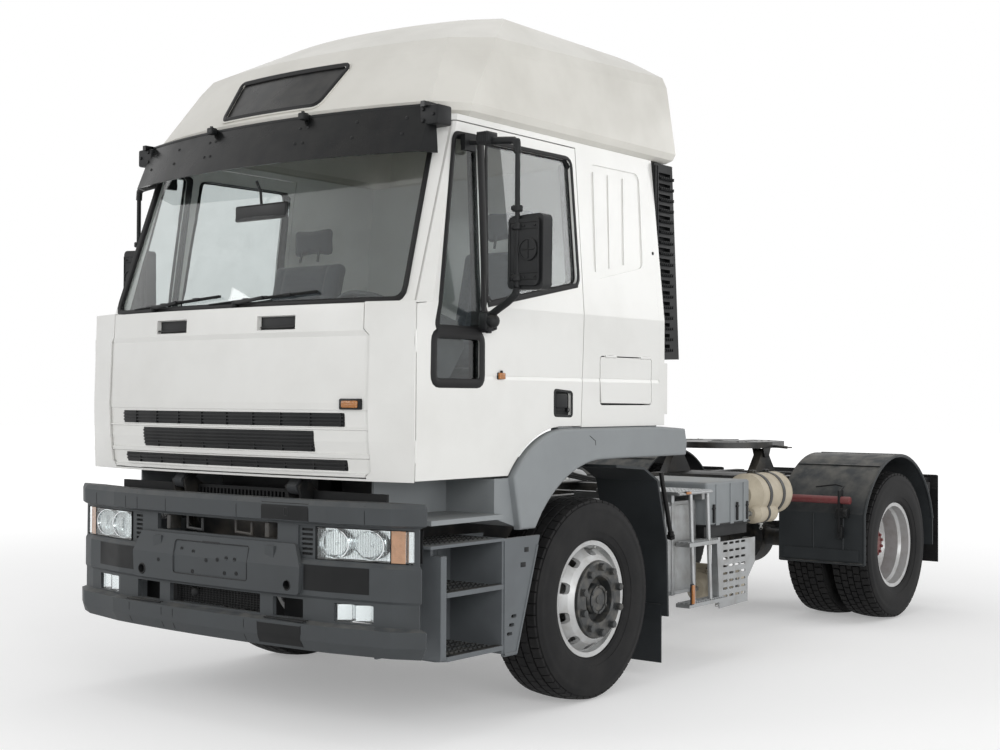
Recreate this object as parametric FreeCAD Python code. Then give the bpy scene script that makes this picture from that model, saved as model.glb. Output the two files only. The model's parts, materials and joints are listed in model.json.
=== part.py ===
"""Tractor unit of a semi truck: two axles, cab over engine, long sleeper cab with a high roof.

Millimetres, +Z up, front towards -Y, the vehicle's left side towards +X.
Shapes are drawn at stations measured from the front axle: y = 0 is the front axle, z = 0 the ground,
x = 0 the middle plane. save() moves them so that the origin lies on the ground at half the length.
"""
import FreeCAD, Part
import math
import os

from FreeCAD import Matrix, Rotation, Vector

# ---------------------------------------------------------------- driving dimensions
WHEELBASE = 3700.0
FRONT_OVERHANG = 1580.0        # front axle to bumper face
REAR_OVERHANG = 800.0          # rear axle to rear flap
FRONT_TRACK = 2040.0
REAR_TRACK = 1830.0            # between the middles of the twin pairs
CAB_WIDTH = 2280.0

TYRE_RADIUS = 518.0
TYRE_WIDTH = 295.0
RIM_SEAT_RADIUS = 286.0
RIM_FLANGE_RADIUS = 298.0
RIM_WIDTH = 226.0
TWIN_SPACING = 340.0           # between the middles of two twin tyres

RAIL_OUTER_X = 430.0
RAIL_FLANGE = 75.0
RAIL_TOP = 980.0
RAIL_HEIGHT = 260.0
RAIL_WALL = 8.0
RAIL_FRONT_Y = -1300.0

CAB_FLOOR_Z = 1170.0           # underside of doors and front skin
ARCH_SILL_Z = 1400.0           # underside of the door and side over the wheel
WAIST_Z = 1975.0               # top of the front skin, foot of the windscreen
CAB_TOP_Z = 2872.0
CAB_REAR_Y = 700.0
CAB_WALL = 55.0
TILT_PIVOT_Y = -1380.0
TILT_PIVOT_Z = 1130.0
TILT_BRACKET_X = 458.0          # outer face of the cab's tilt bracket
ROOF_TOP_Z = 3505.0
ROOF_WALL = 30.0

BUMPER_TOP_Z = 1080.0
BUMPER_BOTTOM_Z = 400.0
KINGPIN_X = 890.0              # steering axis of a front wheel
FIFTH_WHEEL_LEAD = 400.0       # kingpin ahead of the rear axle
FIFTH_WHEEL_HEIGHT = 1240.0
FIFTH_WHEEL_PIVOT_Z = 1150.0
FIFTH_WHEEL_RADIUS = 450.0
KINGPIN_BORE_RADIUS = 25.6     # jaw round a 50.8 mm kingpin
PLATE_THICKNESS = 44.0

# ---------------------------------------------------------------- clearances
SEAT_GAP = 0.3                 # between pieces that rest on each other
PANEL_GAP = 6.0                # shut line round a door or flap
PIN_GAP = 1.0                  # radial, round a pin that turns
RUNNING_GAP = 8.0              # between parts that move past each other

LENGTH = FRONT_OVERHANG + WHEELBASE + REAR_OVERHANG
FRONT_AXLE_Y = -LENGTH / 2 + FRONT_OVERHANG
AXLE_Z = TYRE_RADIUS
CAB_HALF = CAB_WIDTH / 2
RAIL_BOTTOM = RAIL_TOP - RAIL_HEIGHT
RAIL_INNER_X = RAIL_OUTER_X - RAIL_FLANGE
FIFTH_WHEEL_Y = WHEELBASE - FIFTH_WHEEL_LEAD

# ---------------------------------------------------------------- hinge lines of the cab's doors and lockers
DOOR_HINGE = (CAB_HALF - 1, -1373.0)
LOCKER_HINGE_Z = 1765.0
LOCKER_HINGE_X = CAB_HALF - 1

os.makedirs("parts", exist_ok=True)


# ---------------------------------------------------------------- drawing helpers
def save(name, *shapes):
    """Write the solids of one piece, moved to the origin at half the length."""
    solids = [solid for shape in shapes for solid in shape.Solids]
    whole = Part.makeCompound(solids)
    whole.translate(Vector(0, FRONT_AXLE_Y, 0))
    whole.exportStep("parts/" + name + ".step")


def box(x, y, z):
    """Block between the two values of each pair."""
    low = Vector(min(x), min(y), min(z))
    return Part.makeBox(abs(x[1] - x[0]), abs(y[1] - y[0]), abs(z[1] - z[0]), low)


def rod_x(radius, x, y, z):
    return Part.makeCylinder(radius, abs(x[1] - x[0]), Vector(min(x), y, z), Vector(1, 0, 0))


def rod_y(radius, x, y, z):
    return Part.makeCylinder(radius, abs(y[1] - y[0]), Vector(x, min(y), z), Vector(0, 1, 0))


def rod_z(radius, x, y, z):
    return Part.makeCylinder(radius, abs(z[1] - z[0]), Vector(x, y, min(z)), Vector(0, 0, 1))


def bar(start, end, radius):
    """Round bar between two points."""
    start, end = Vector(*start), Vector(*end)
    return Part.makeCylinder(radius, (end - start).Length, start, end - start)


def outline(points, place):
    """Closed wire through points; a triple (a, b, 'arc') is the middle of an arc to the next point."""
    spots = [(place(p[0], p[1]), len(p) == 3) for p in points]
    edges = []
    count = len(spots)
    i = 0
    while i < count:
        start, is_mid = spots[i]
        following, following_mid = spots[(i + 1) % count]
        if following_mid:
            end = spots[(i + 2) % count][0]
            edges.append(Part.Arc(start, following, end).toShape())
            i += 2
        else:
            edges.append(Part.makeLine(start, following))
            i += 1
    return Part.Wire(edges)


def wound(points, turn):
    """The outline in the order that turns left (1) or right (-1)."""
    area = sum(a[0] * b[1] - b[0] * a[1] for a, b in zip(points, points[1:] + points[:1]))
    if area * turn < 0:
        points = points[::-1]
    return points[1:] + points[:1] if len(points[0]) == 3 else points


def prism_x(points, x):
    """Outline in the side view (y, z), extruded between two x values."""
    wire = outline(wound(points, 1), lambda y, z: Vector(min(x), y, z))
    return Part.Face(wire).extrude(Vector(abs(x[1] - x[0]), 0, 0))


def prism_y(points, y):
    """Outline in the front view (x, z), extruded between two y values."""
    wire = outline(wound(points, -1), lambda a, z: Vector(a, min(y), z))
    return Part.Face(wire).extrude(Vector(0, abs(y[1] - y[0]), 0))


def prism_z(points, z):
    """Outline in the plan view (x, y), extruded between two z values."""
    wire = outline(wound(points, 1), lambda a, b: Vector(a, b, min(z)))
    return Part.Face(wire).extrude(Vector(0, 0, abs(z[1] - z[0])))


def turned(points, x, y, z):
    """Section (offset along x, radius) revolved about an axle parallel to X."""
    wire = outline(points, lambda a, r: Vector(x + a, y, z + r))
    return Part.Face(wire).revolve(Vector(x, y, z), Vector(1, 0, 0), 360)


def mirrored(shape):
    """The same piece on the vehicle's right side."""
    return shape.mirror(Vector(0, 0, 0), Vector(1, 0, 0))


def pair(shape):
    return Part.makeCompound([shape, mirrored(shape)])


def joined(*shapes):
    whole = shapes[0].fuse(list(shapes[1:])) if len(shapes) > 1 else shapes[0]
    return whole.removeSplitter()


def rounded(shape, radius, keep):
    """Fillet the edges for which keep(edge) is true."""
    edges = [edge for edge in shape.Edges if keep(edge)]
    return shape.makeFillet(radius, edges)


def along(axis):
    """Test for straight edges that run along an axis."""
    def test(edge):
        if not isinstance(edge.Curve, Part.Line):
            return False
        return abs(abs(edge.tangentAt(edge.FirstParameter).dot(axis)) - 1) < 1e-6
    return test


AXIS_X, AXIS_Y, AXIS_Z = Vector(1, 0, 0), Vector(0, 1, 0), Vector(0, 0, 1)


# ---------------------------------------------------------------- wheels
def tyre(x, y):
    """One tyre: bead, bulged side walls and a slightly crowned tread."""
    half, bead = TYRE_WIDTH / 2, RIM_WIDTH / 2 - 14
    bore, lip = RIM_SEAT_RADIUS + SEAT_GAP, RIM_FLANGE_RADIUS + 1
    shoulder = TYRE_RADIUS - 12
    wall_middle = (lip + shoulder) / 2
    return turned([(-bead, bore), (-bead, lip), (-bead - 20, lip + 4), (-half, wall_middle, "arc"),
                   (-half + 16, shoulder), (0, TYRE_RADIUS, "arc"), (half - 16, shoulder),
                   (half, wall_middle, "arc"), (bead + 20, lip + 4), (bead, lip), (bead, bore)],
                  x, y, AXLE_Z)


DISC_WALL = 14.0
NUT_RING_RADIUS = 198.0        # outer edge of the raised ring under the front wheel's nuts
NUT_RING_FACE = 34.0           # the ring's face, proud of the disc's mounting face
BOWL_RADIUS = 118.0            # hollow inside that ring
BOWL_DEPTH = 24.0              # the hollow's floor behind the mounting face
CAP_RADIUS = 80.0              # hub cap that stands in the hollow
VENT_COUNT = 10
FRONT_VENT_RADIUS = 242.0
REAR_VENT_RADIUS = 226.0
STUD_COUNT = 10
STUD_PITCH_RADIUS = 167.5      # 335 mm stud circle
STUD_RADIUS = 11.0
FRONT_DISC = 138.0             # mounting face outboard of the tyre's middle
DISC_ROOT = 50.0               # where the front disc leaves its rim, outboard of the tyre's middle
STUB_RADIUS = 45.0


def rim_barrel():
    """Half section of a tubeless rim, as (offset, radius), from the inner flange to the outer one."""
    half = RIM_WIDTH / 2
    return [(-half, RIM_FLANGE_RADIUS), (-half + 9, RIM_FLANGE_RADIUS), (-half + 13, RIM_SEAT_RADIUS),
            (half - 13, RIM_SEAT_RADIUS), (half - 9, RIM_FLANGE_RADIUS), (half, RIM_FLANGE_RADIUS),
            (half - 4, RIM_SEAT_RADIUS - 12), (half - 60, RIM_SEAT_RADIUS - 14),
            (half - 80, RIM_SEAT_RADIUS - 26), (-half + 40, RIM_SEAT_RADIUS - 22),
            (-half + 4, RIM_SEAT_RADIUS - 12)]


def ring_of(shape, count, x, y):
    """Copies of a shape turned round an axle."""
    copies = []
    for i in range(count):
        copy = shape.copy()
        copy.rotate(Vector(x, y, AXLE_Z), AXIS_X, 360.0 * i / count)
        copies.append(copy)
    return copies


def vent_cutters(x, y, x_span, pitch_radius, half_long, half_short):
    """Oval vent holes, longer round the wheel than across."""
    r = pitch_radius + AXLE_Z
    hole = prism_x([(y - half_long, r - half_short), (y - half_long - half_short, r, "arc"),
                    (y - half_long, r + half_short), (y + half_long, r + half_short),
                    (y + half_long + half_short, r, "arc"), (y + half_long, r - half_short)], x_span)
    return ring_of(hole, VENT_COUNT, x, y)


def front_rim(x, y):
    """Disc wheel dished outwards to a hub whose nut ring stands proud of the rim, round a capped bowl."""
    barrel = turned(rim_barrel(), x, y, AXLE_Z)
    bore = STUB_RADIUS + PIN_GAP
    face, root, seat = FRONT_DISC, DISC_ROOT, RIM_SEAT_RADIUS
    disc = turned([(root, seat - 6), (root - 14, seat - 30), (face - 26, 222), (face, 205), (face, bore),
                   (face + DISC_WALL, bore), (face + DISC_WALL, 203), (face - 8, 228),
                   (root + 26, seat - 22), (root + 14, seat - 6)], x, y, AXLE_Z)
    hub = turned([(-30, bore), (-30, 120), (face - 30, 130), (face - 30, 186), (face, 186),
                  (face, bore)], x, y, AXLE_Z)
    top = face + NUT_RING_FACE
    ring = turned([(face, 0), (face, NUT_RING_RADIUS), (top - 6, NUT_RING_RADIUS - 3),
                   (top, NUT_RING_RADIUS - 12), (top, 0)], x, y, AXLE_Z)
    floor, lip = face - BOWL_DEPTH, top + 1
    bowl = turned([(floor, CAP_RADIUS), (floor, BOWL_RADIUS - 8), (top - 8, BOWL_RADIUS),
                   (lip, BOWL_RADIUS + 10), (lip, 0), (face + 24, 0), (face + 24, CAP_RADIUS - 28),
                   (face + 18, CAP_RADIUS - 10), (face + 6, CAP_RADIUS - 2)], x, y, AXLE_Z)
    studs = ring_of(rod_x(STUD_RADIUS, (x + face, x + face + 58), y, AXLE_Z + STUD_PITCH_RADIUS),
                    STUD_COUNT, x, y)
    body = barrel.fuse([disc, hub, ring] + studs)
    stub_room = rod_x(bore, (x - 200, x + face + 8), y, AXLE_Z)
    vents = vent_cutters(x, y, (x + root - 40, x + face + 60), FRONT_VENT_RADIUS, 12, 18)
    return body.cut([stub_room, bowl] + vents).removeSplitter()


def rear_rims(x, y):
    """Two disc wheels back to back on one hub: the outer one shows its deep dish."""
    offset = TWIN_SPACING / 2
    outer = turned(rim_barrel(), x + offset, y, AXLE_Z)
    inner = turned(rim_barrel(), x - offset, y, AXLE_Z)
    bore = STUB_RADIUS + PIN_GAP
    seat = RIM_SEAT_RADIUS - 8
    reach = offset - RIM_WIDTH / 2 + 34
    discs = turned([(-reach, seat), (-reach - 22, seat - 8), (-DISC_WALL - 30, 225), (-DISC_WALL, 205),
                    (-DISC_WALL, bore), (DISC_WALL, bore), (DISC_WALL, 205), (DISC_WALL + 30, 225),
                    (reach + 22, seat - 8), (reach, seat), (DISC_WALL + 18, 242), (0, 230),
                    (-DISC_WALL - 18, 242)], x, y, AXLE_Z)
    hub = turned([(-100, bore), (-100, 150), (-DISC_WALL, 150), (-DISC_WALL, bore)], x, y, AXLE_Z)
    nose = turned([(DISC_WALL, 0), (DISC_WALL, 132), (60, 128), (110, 118), (128, 100), (150, 96),
                   (158, 80), (158, 0)], x, y, AXLE_Z)
    studs = ring_of(rod_x(STUD_RADIUS, (x + DISC_WALL, x + 52), y, AXLE_Z + STUD_PITCH_RADIUS),
                    STUD_COUNT, x, y)
    body = outer.fuse([inner, discs, hub, nose] + studs)
    stub_room = rod_x(bore, (x - 300, x + DISC_WALL), y, AXLE_Z)
    vents = vent_cutters(x, y, (x - 60, x + 60), REAR_VENT_RADIUS, 26, 17)
    return body.cut([stub_room] + vents).removeSplitter()


def make_wheels():
    front_x, rear_x = FRONT_TRACK / 2, REAR_TRACK / 2
    front_tyre, front_disc = tyre(front_x, 0), front_rim(front_x, 0)
    twin = Part.makeCompound([tyre(rear_x + side * TWIN_SPACING / 2, WHEELBASE) for side in (-1, 1)])
    rims = rear_rims(rear_x, WHEELBASE)
    for name, shape in (("front_tyre", front_tyre), ("front_rim", front_disc), ("rear_tyres", twin),
                        ("rear_rims", rims)):
        save(name + "_left", shape)
        save(name + "_right", mirrored(shape))


# ---------------------------------------------------------------- axles, steering and springs
KINGPIN_RADIUS = 25.0
BEAM_EYE_RADIUS = 52.0
BEAM_EYE_HALF = 70.0
YOKE_HALF = 118.0
BEAM_DROP = 95.0               # the beam's middle below its eyes
SPRING_X = 425.0
SPRING_WIDTH = 80.0
BRAKE_PLATE_RADIUS = 205.0


def make_front_axle():
    """Forged I beam: an eye for the kingpin at each end, swept down between the springs."""
    low, high = AXLE_Z - BEAM_DROP, AXLE_Z
    half = BEAM_HALF
    eye_x = KINGPIN_X
    shape = [(-eye_x, high + half), (-eye_x, high - half), (-660, low - half + 20), (-560, low - half),
             (560, low - half), (660, low - half + 20), (eye_x, high - half), (eye_x, high + half),
             (690, low + half + 10), (560, low + half), (-560, low + half), (-690, low + half + 10)]
    beam = prism_y(shape, (-50, 50))
    slots = [prism_y([(side * 640, low - 26), (side * 640, low + 34), (side * 60, low + 26),
                      (side * 60, low - 26)], span) for side in (-1, 1) for span in ((-50, -14), (14, 50))]
    beam = beam.cut(slots)
    eyes = [rod_z(BEAM_EYE_RADIUS, side * eye_x, 0, (high - BEAM_EYE_HALF, high + BEAM_EYE_HALF))
            for side in (-1, 1)]
    pads = [box((side * SPRING_X - 60, side * SPRING_X + 60), (-75, 75),
                (low + half - 6, low + half + SPRING_SEAT)) for side in (-1, 1)]
    bores = [rod_z(KINGPIN_RADIUS + PIN_GAP, side * eye_x, 0, (0, 2 * high)) for side in (-1, 1)]
    save("front_axle", beam.fuse(eyes + pads).cut(bores).removeSplitter())


def knuckle():
    """Yoke, kingpin, stub axle, brake plate and steering arm of the left front wheel."""
    pin = rod_z(KINGPIN_RADIUS, KINGPIN_X, 0, (AXLE_Z - YOKE_HALF, AXLE_Z + YOKE_HALF))
    ears = [rod_z(BEAM_EYE_RADIUS - 4, KINGPIN_X, 0, span)
            for span in ((AXLE_Z - YOKE_HALF, AXLE_Z - BEAM_EYE_HALF - 3),
                         (AXLE_Z + BEAM_EYE_HALF + 3, AXLE_Z + YOKE_HALF))]
    back_x = KINGPIN_X + BEAM_EYE_RADIUS + RUNNING_GAP
    back = box((back_x, back_x + 18), (-58, 58), (AXLE_Z - YOKE_HALF, AXLE_Z + YOKE_HALF))
    links = [box((KINGPIN_X, back_x + 5), (-40, 40), span)
             for span in ((AXLE_Z - YOKE_HALF, AXLE_Z - BEAM_EYE_HALF - 3),
                          (AXLE_Z + BEAM_EYE_HALF + 3, AXLE_Z + YOKE_HALF))]
    stub = rod_x(STUB_RADIUS, (back_x + 10, FRONT_TRACK / 2 + FRONT_DISC - 10), 0, AXLE_Z)
    plate = rod_x(BRAKE_PLATE_RADIUS, (back_x + 6, back_x + 14), 0, AXLE_Z)
    arm = prism_z([(KINGPIN_X - 18, 20), (KINGPIN_X + 20, 20), (KINGPIN_X - 40, 190),
                   (KINGPIN_X - 75, 190)], (AXLE_Z - YOKE_HALF, AXLE_Z - YOKE_HALF + 30))
    return joined(pin, back, stub, plate, arm, *ears, *links)


EYE_RADIUS = 26.0
EYE_DROP = 6.0                 # spring eye's middle below the top of the main leaf's end


def leaf_spring(x, y, z, half_length, leaves, camber):
    """Stack of parallel arched leaves, clamped in the middle, with an eye at each end of the main leaf."""
    solids = []
    for i in range(leaves):
        reach = half_length * (1 - 0.16 * i)
        rise = camber * (reach / half_length) ** 2
        top = z - i * LEAF
        solids.append(prism_x([(y - reach, top + rise), (y, top, "arc"), (y + reach, top + rise),
                               (y + reach, top + rise - LEAF), (y, top - LEAF, "arc"),
                               (y - reach, top + rise - LEAF)],
                              (x - SPRING_WIDTH / 2, x + SPRING_WIDTH / 2)))
    eyes = [rod_x(EYE_RADIUS, (x - SPRING_WIDTH / 2, x + SPRING_WIDTH / 2), y + side * half_length,
                  z + camber - EYE_DROP) for side in (-1, 1)]
    clamp = box((x - 55, x + 55), (y - 70, y + 70), (z - leaves * LEAF - 1, z + 24))
    return joined(clamp, *solids, *eyes)


FRONT_SPRING_HALF = 780.0
FRONT_SPRING_CAMBER = 110.0
REAR_SPRING_HALF = 580.0
REAR_SPRING_CAMBER = 40.0
REAR_AXLE_TUBE = 65.0
SPRING_SEAT = 12.0             # pad between an axle and its springs
LEAF = 14.0
FRONT_LEAVES = 4
REAR_LEAVES = 4
BEAM_HALF = 48.0               # half height of the front beam
FRONT_SPRING_Z = AXLE_Z - BEAM_DROP + BEAM_HALF + SPRING_SEAT + SEAT_GAP + FRONT_LEAVES * LEAF + 1
REAR_SPRING_Z = AXLE_Z + REAR_AXLE_TUBE + SPRING_SEAT + SEAT_GAP + REAR_LEAVES * LEAF + 1


def make_springs():
    save("front_springs", pair(leaf_spring(SPRING_X, 0, FRONT_SPRING_Z, FRONT_SPRING_HALF, FRONT_LEAVES,
                                           FRONT_SPRING_CAMBER)))
    save("rear_springs", pair(leaf_spring(SPRING_X, WHEELBASE, REAR_SPRING_Z, REAR_SPRING_HALF,
                                          REAR_LEAVES, REAR_SPRING_CAMBER)))


def make_rear_axle():
    """Banjo housing with its differential, spindles for the twin wheels, and the propeller shaft."""
    y, reach = WHEELBASE, REAR_TRACK / 2
    tube = rod_x(REAR_AXLE_TUBE, (-reach + 170, reach - 170), y, AXLE_Z)
    spindle = rod_x(STUB_RADIUS, (-reach - DISC_WALL + 24, reach + DISC_WALL - 24), y, AXLE_Z)
    drums = [rod_x(200, (side * (reach - 230), side * (reach - 112)), y, AXLE_Z) for side in (-1, 1)]
    banjo = Part.makeCylinder(210, 190, Vector(0, y - 95, AXLE_Z), AXIS_Y)
    cover = Part.makeSphere(190, Vector(0, y + 20, AXLE_Z))
    nose = Part.makeCone(150, 70, 230, Vector(0, y - 90, AXLE_Z), Vector(0, -1, 0))
    pads = [box((side * SPRING_X - 60, side * SPRING_X + 60), (y - 80, y + 80),
                (AXLE_Z, AXLE_Z + REAR_AXLE_TUBE + SPRING_SEAT)) for side in (-1, 1)]
    yoke = rod_y(70, 0, (GEARBOX_END_Y + SEAT_GAP, GEARBOX_END_Y + 40), GEARBOX_Z)
    shaft = bar((0, y - 300, AXLE_Z), (0, GEARBOX_END_Y + 30, GEARBOX_Z), 55)
    shaft = shaft.common(box((-100, 100), (GEARBOX_END_Y + 20, y), (0, RAIL_TOP)))
    save("rear_axle", joined(tube, spindle, banjo, cover, nose, yoke, shaft, *drums, *pads))


# ---------------------------------------------------------------- engine and frame
ENGINE_FRONT_Y = -1000.0
ENGINE_REAR_Y = 250.0
ENGINE_TOP_Z = 1380.0
ENGINE_HALF = 330.0
GEARBOX_END_Y = 1000.0
GEARBOX_Z = 720.0


def make_engine():
    """Engine and gearbox as one closed mass at its real place."""
    block = box((-ENGINE_HALF, ENGINE_HALF), (ENGINE_FRONT_Y, ENGINE_REAR_Y), (620, ENGINE_TOP_Z))
    sump = box((-200, 200), (ENGINE_FRONT_Y + 330, ENGINE_REAR_Y - 50), (540, 620))
    bell = Part.makeCone(300, 190, 260, Vector(0, ENGINE_REAR_Y, GEARBOX_Z + 60), AXIS_Y)
    gearbox = box((-190, 190), (ENGINE_REAR_Y + 200, GEARBOX_END_Y - 20),
                  (GEARBOX_Z - 170, GEARBOX_Z + 220))
    flange = rod_y(70, 0, (GEARBOX_END_Y - 30, GEARBOX_END_Y), GEARBOX_Z)
    fan_hub = rod_y(90, 0, (ENGINE_FRONT_Y - 60, ENGINE_FRONT_Y), 980)
    save("engine", joined(block, sump, bell, gearbox, flange, fan_hub))


FLAP_REACH = 138.0             # from the frame's end to the rear face of the hanging flaps
FRAME_END_Y = WHEELBASE + REAR_OVERHANG - FLAP_REACH
CROSS_MEMBERS = [              # station, half length along y, low z, high z
    (RAIL_FRONT_Y + 60, 50, RAIL_BOTTOM + 8, RAIL_TOP - 40),
    (1250, 45, RAIL_BOTTOM + 60, RAIL_TOP - 8),
    (2050, 45, RAIL_BOTTOM + 60, RAIL_TOP - 8),
    (2850, 45, RAIL_BOTTOM + 90, RAIL_TOP - 8),
    (FRAME_END_Y - 45, 45, RAIL_BOTTOM + 8, RAIL_TOP - 8),
]


def rail():
    """Left rail: a C section, open towards the middle."""
    x0, x1, wall = RAIL_INNER_X, RAIL_OUTER_X, RAIL_WALL
    section = [(x1, RAIL_BOTTOM), (x1, RAIL_TOP), (x0, RAIL_TOP), (x0, RAIL_TOP - wall),
               (x1 - wall, RAIL_TOP - wall), (x1 - wall, RAIL_BOTTOM + wall), (x0, RAIL_BOTTOM + wall),
               (x0, RAIL_BOTTOM)]
    return prism_y(section, (RAIL_FRONT_Y, FRAME_END_Y))


def spring_hanger(x, y, z_eye):
    """Cheek bracket that hangs under the rail and holds a spring eye's pin."""
    inner, outer = abs(x) - SPRING_WIDTH / 2 - 12, abs(x) + SPRING_WIDTH / 2 + 12
    cheeks = [prism_x([(y - 70, RAIL_BOTTOM + 40), (y + 70, RAIL_BOTTOM + 40), (y + 34, z_eye - 30),
                       (y - 34, z_eye - 30)], span)
              for span in ((inner, inner + 12 - SEAT_GAP), (outer - 12 + SEAT_GAP, outer))]
    web = box((RAIL_OUTER_X - 20, outer), (y - 70, y + 70), (RAIL_BOTTOM + 4, RAIL_BOTTOM + 40))
    return [piece if x > 0 else mirrored(piece) for piece in cheeks + [web]]


def make_frame():
    rails = [rail(), mirrored(rail())]
    web = RAIL_OUTER_X - RAIL_WALL
    members = [box((-web, web), (y - half, y + half), (low, high)).cut(
        box((-web + 90, web - 90), (y - half + 8, y + half + 8), (low + 8, high - 8)))
        for y, half, low, high in CROSS_MEMBERS]
    front_eye = FRONT_SPRING_Z + FRONT_SPRING_CAMBER - EYE_DROP
    rear_eye = REAR_SPRING_Z + REAR_SPRING_CAMBER - EYE_DROP
    stations = [(-FRONT_SPRING_HALF, front_eye), (FRONT_SPRING_HALF, front_eye),
                (WHEELBASE - REAR_SPRING_HALF, rear_eye), (WHEELBASE + REAR_SPRING_HALF, rear_eye)]
    hangers = []
    for side in (-1, 1):
        for station, eye in stations:
            hangers += spring_hanger(side * SPRING_X, station, eye)
    brackets = []
    for side in (-1, 1):
        for x in (360, TILT_BRACKET_X - 14):
            cheek = prism_x([(RAIL_FRONT_Y + 160, RAIL_TOP - 90), (RAIL_FRONT_Y + 150, RAIL_TOP + 20),
                             (TILT_PIVOT_Y + 34, TILT_PIVOT_Z + 14), (TILT_PIVOT_Y, TILT_PIVOT_Z + 30),
                             (TILT_PIVOT_Y - 34, TILT_PIVOT_Z), (TILT_PIVOT_Y - 20, TILT_PIVOT_Z - 60),
                             (RAIL_FRONT_Y, RAIL_TOP - 90)], (side * x, side * (x + 14)))
            brackets.append(cheek)
        brackets.append(rod_x(18, (side * 360, side * TILT_BRACKET_X), TILT_PIVOT_Y, TILT_PIVOT_Z))
    save("chassis_frame", joined(rails[0], rails[1], *members, *hangers, *brackets))


# ---------------------------------------------------------------- cab
CORNER_X = CAB_HALF - 235       # where the front skin turns into the corner
PILLAR_X = CAB_HALF - 110       # the same at the foot of the windscreen
HEADER_X = CAB_HALF - 165       # the same at the top of the windscreen
# Plan outlines of the cab at some heights. Columns: height, y of the front's middle, x and y where the
# front arc ends, x and y where the corner meets the side.
CAB_LOWER = [
    (CAB_FLOOR_Z, -1470, CORNER_X - 3, -1424, CAB_HALF - 4, -1378),
    (1345, -1512, CORNER_X, -1450, CAB_HALF, -1382),
    (1520, -1520, CORNER_X, -1458, CAB_HALF, -1386),
    (WAIST_Z, -1500, CORNER_X, -1440, CAB_HALF, -1374),
]
CAB_UPPER = [
    (WAIST_Z, -1428, PILLAR_X, -1332, CAB_HALF, -1262),
    (CAB_TOP_Z, -1150, HEADER_X, -1040, CAB_HALF - 92, -985),
]
# The same for the roof, with the rear's height and y; its middle outline rises towards the rear, and its
# foot is rolled in over the cab. Columns: height in front, height at the rear, y of the front's middle,
# x and y where the front arc ends, x and y where the corner meets the side, y of the rear, inset.
ROOF_SECTIONS = [
    (CAB_TOP_Z, CAB_TOP_Z, -1240, CAB_HALF - 180, -1080, CAB_HALF - 50, -930, 895, 40),
    (CAB_TOP_Z + 20, CAB_TOP_Z + 20, -1240, CAB_HALF - 180, -1080, CAB_HALF - 50, -930, 895, 12),
    (CAB_TOP_Z + 55, CAB_TOP_Z + 55, -1240, CAB_HALF - 180, -1080, CAB_HALF - 50, -930, 895, 0),
    (3205, 3310, -1025, CAB_HALF - 258, -885, CAB_HALF - 105, -715, 886, 0),
    (3285, 3370, -955, CAB_HALF - 285, -820, CAB_HALF - 130, -655, 880, 0),
    (3470, 3470, -590, CAB_HALF - 460, -470, CAB_HALF - 300, -370, 825, 0),
    (ROOF_TOP_Z, ROOF_TOP_Z, -480, CAB_HALF - 530, -380, CAB_HALF - 370, -290, 780, 0),
]


def plan_wire(front_y, arc_x, arc_y, side_x, side_y, rear_y, height):
    """Cab or roof outline at one level; height(y) gives the level."""
    def place(x, y):
        return Vector(x, y, height(y))
    corners = [(side_x, rear_y), (side_x, side_y), (arc_x, arc_y), (0, front_y, "arc"), (-arc_x, arc_y),
               (-side_x, side_y), (-side_x, rear_y)]
    if height(front_y) == height(rear_y):
        return outline(corners, place)
    # A front arc on a tilted level is drawn flat, then its ends and middle are lifted to that level.
    lifted = [place(-arc_x, arc_y), Vector(0, front_y, height(front_y)), place(arc_x, arc_y)]
    arc = Part.Arc(*lifted).toShape()
    rest = [place(arc_x, arc_y), place(side_x, side_y), place(side_x, rear_y), place(-side_x, rear_y),
            place(-side_x, side_y), place(-arc_x, arc_y)]
    return Part.Wire([arc] + [Part.makeLine(a, b) for a, b in zip(rest, rest[1:])])


def cab_wire(section, inset, rear_y):
    """Plan outline of the cab at one height, shrunk by inset."""
    z, front, arc_x, arc_y, side_x, side_y = section
    return plan_wire(front + inset, arc_x - inset * 0.8, arc_y + inset, side_x - inset,
                     side_y + inset * 0.6, rear_y - inset, lambda y: z)


def cab_stack(sections, inset, rear_y):
    """Ruled solid through plan outlines, each shrunk by inset."""
    return Part.makeLoft([cab_wire(section, inset, rear_y) for section in sections], True, True)


def section_at(sections, z):
    """Plan outline values at a height between two of the given ones."""
    for low, high in zip(sections, sections[1:]):
        if low[0] <= z <= high[0]:
            share = (z - low[0]) / (high[0] - low[0])
            return [a + (b - a) * share for a, b in zip(low, high)]
    raise ValueError("height outside the sections")


def pressed_stack(profile, deeper, rear_y):
    """Ruled solid of the lower cab whose skin steps in and out by a profile of (height, inset)."""
    return Part.makeLoft([cab_wire(section_at(CAB_LOWER, z), inset + deeper, rear_y)
                          for z, inset in profile], True, True)


def cab_outer():
    lower = cab_stack(CAB_LOWER, 0, CAB_REAR_Y)
    upper = cab_stack(CAB_UPPER, 0, CAB_REAR_Y)
    return lower.fuse(upper)


def cab_inner():
    """The cab's hollow, one wall inside the skin; it runs out through the top and bottom."""
    lower = cab_stack(CAB_LOWER, CAB_WALL, CAB_REAR_Y)
    upper = cab_stack(CAB_UPPER, CAB_WALL, CAB_REAR_Y)
    return lower.fuse(upper)


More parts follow.
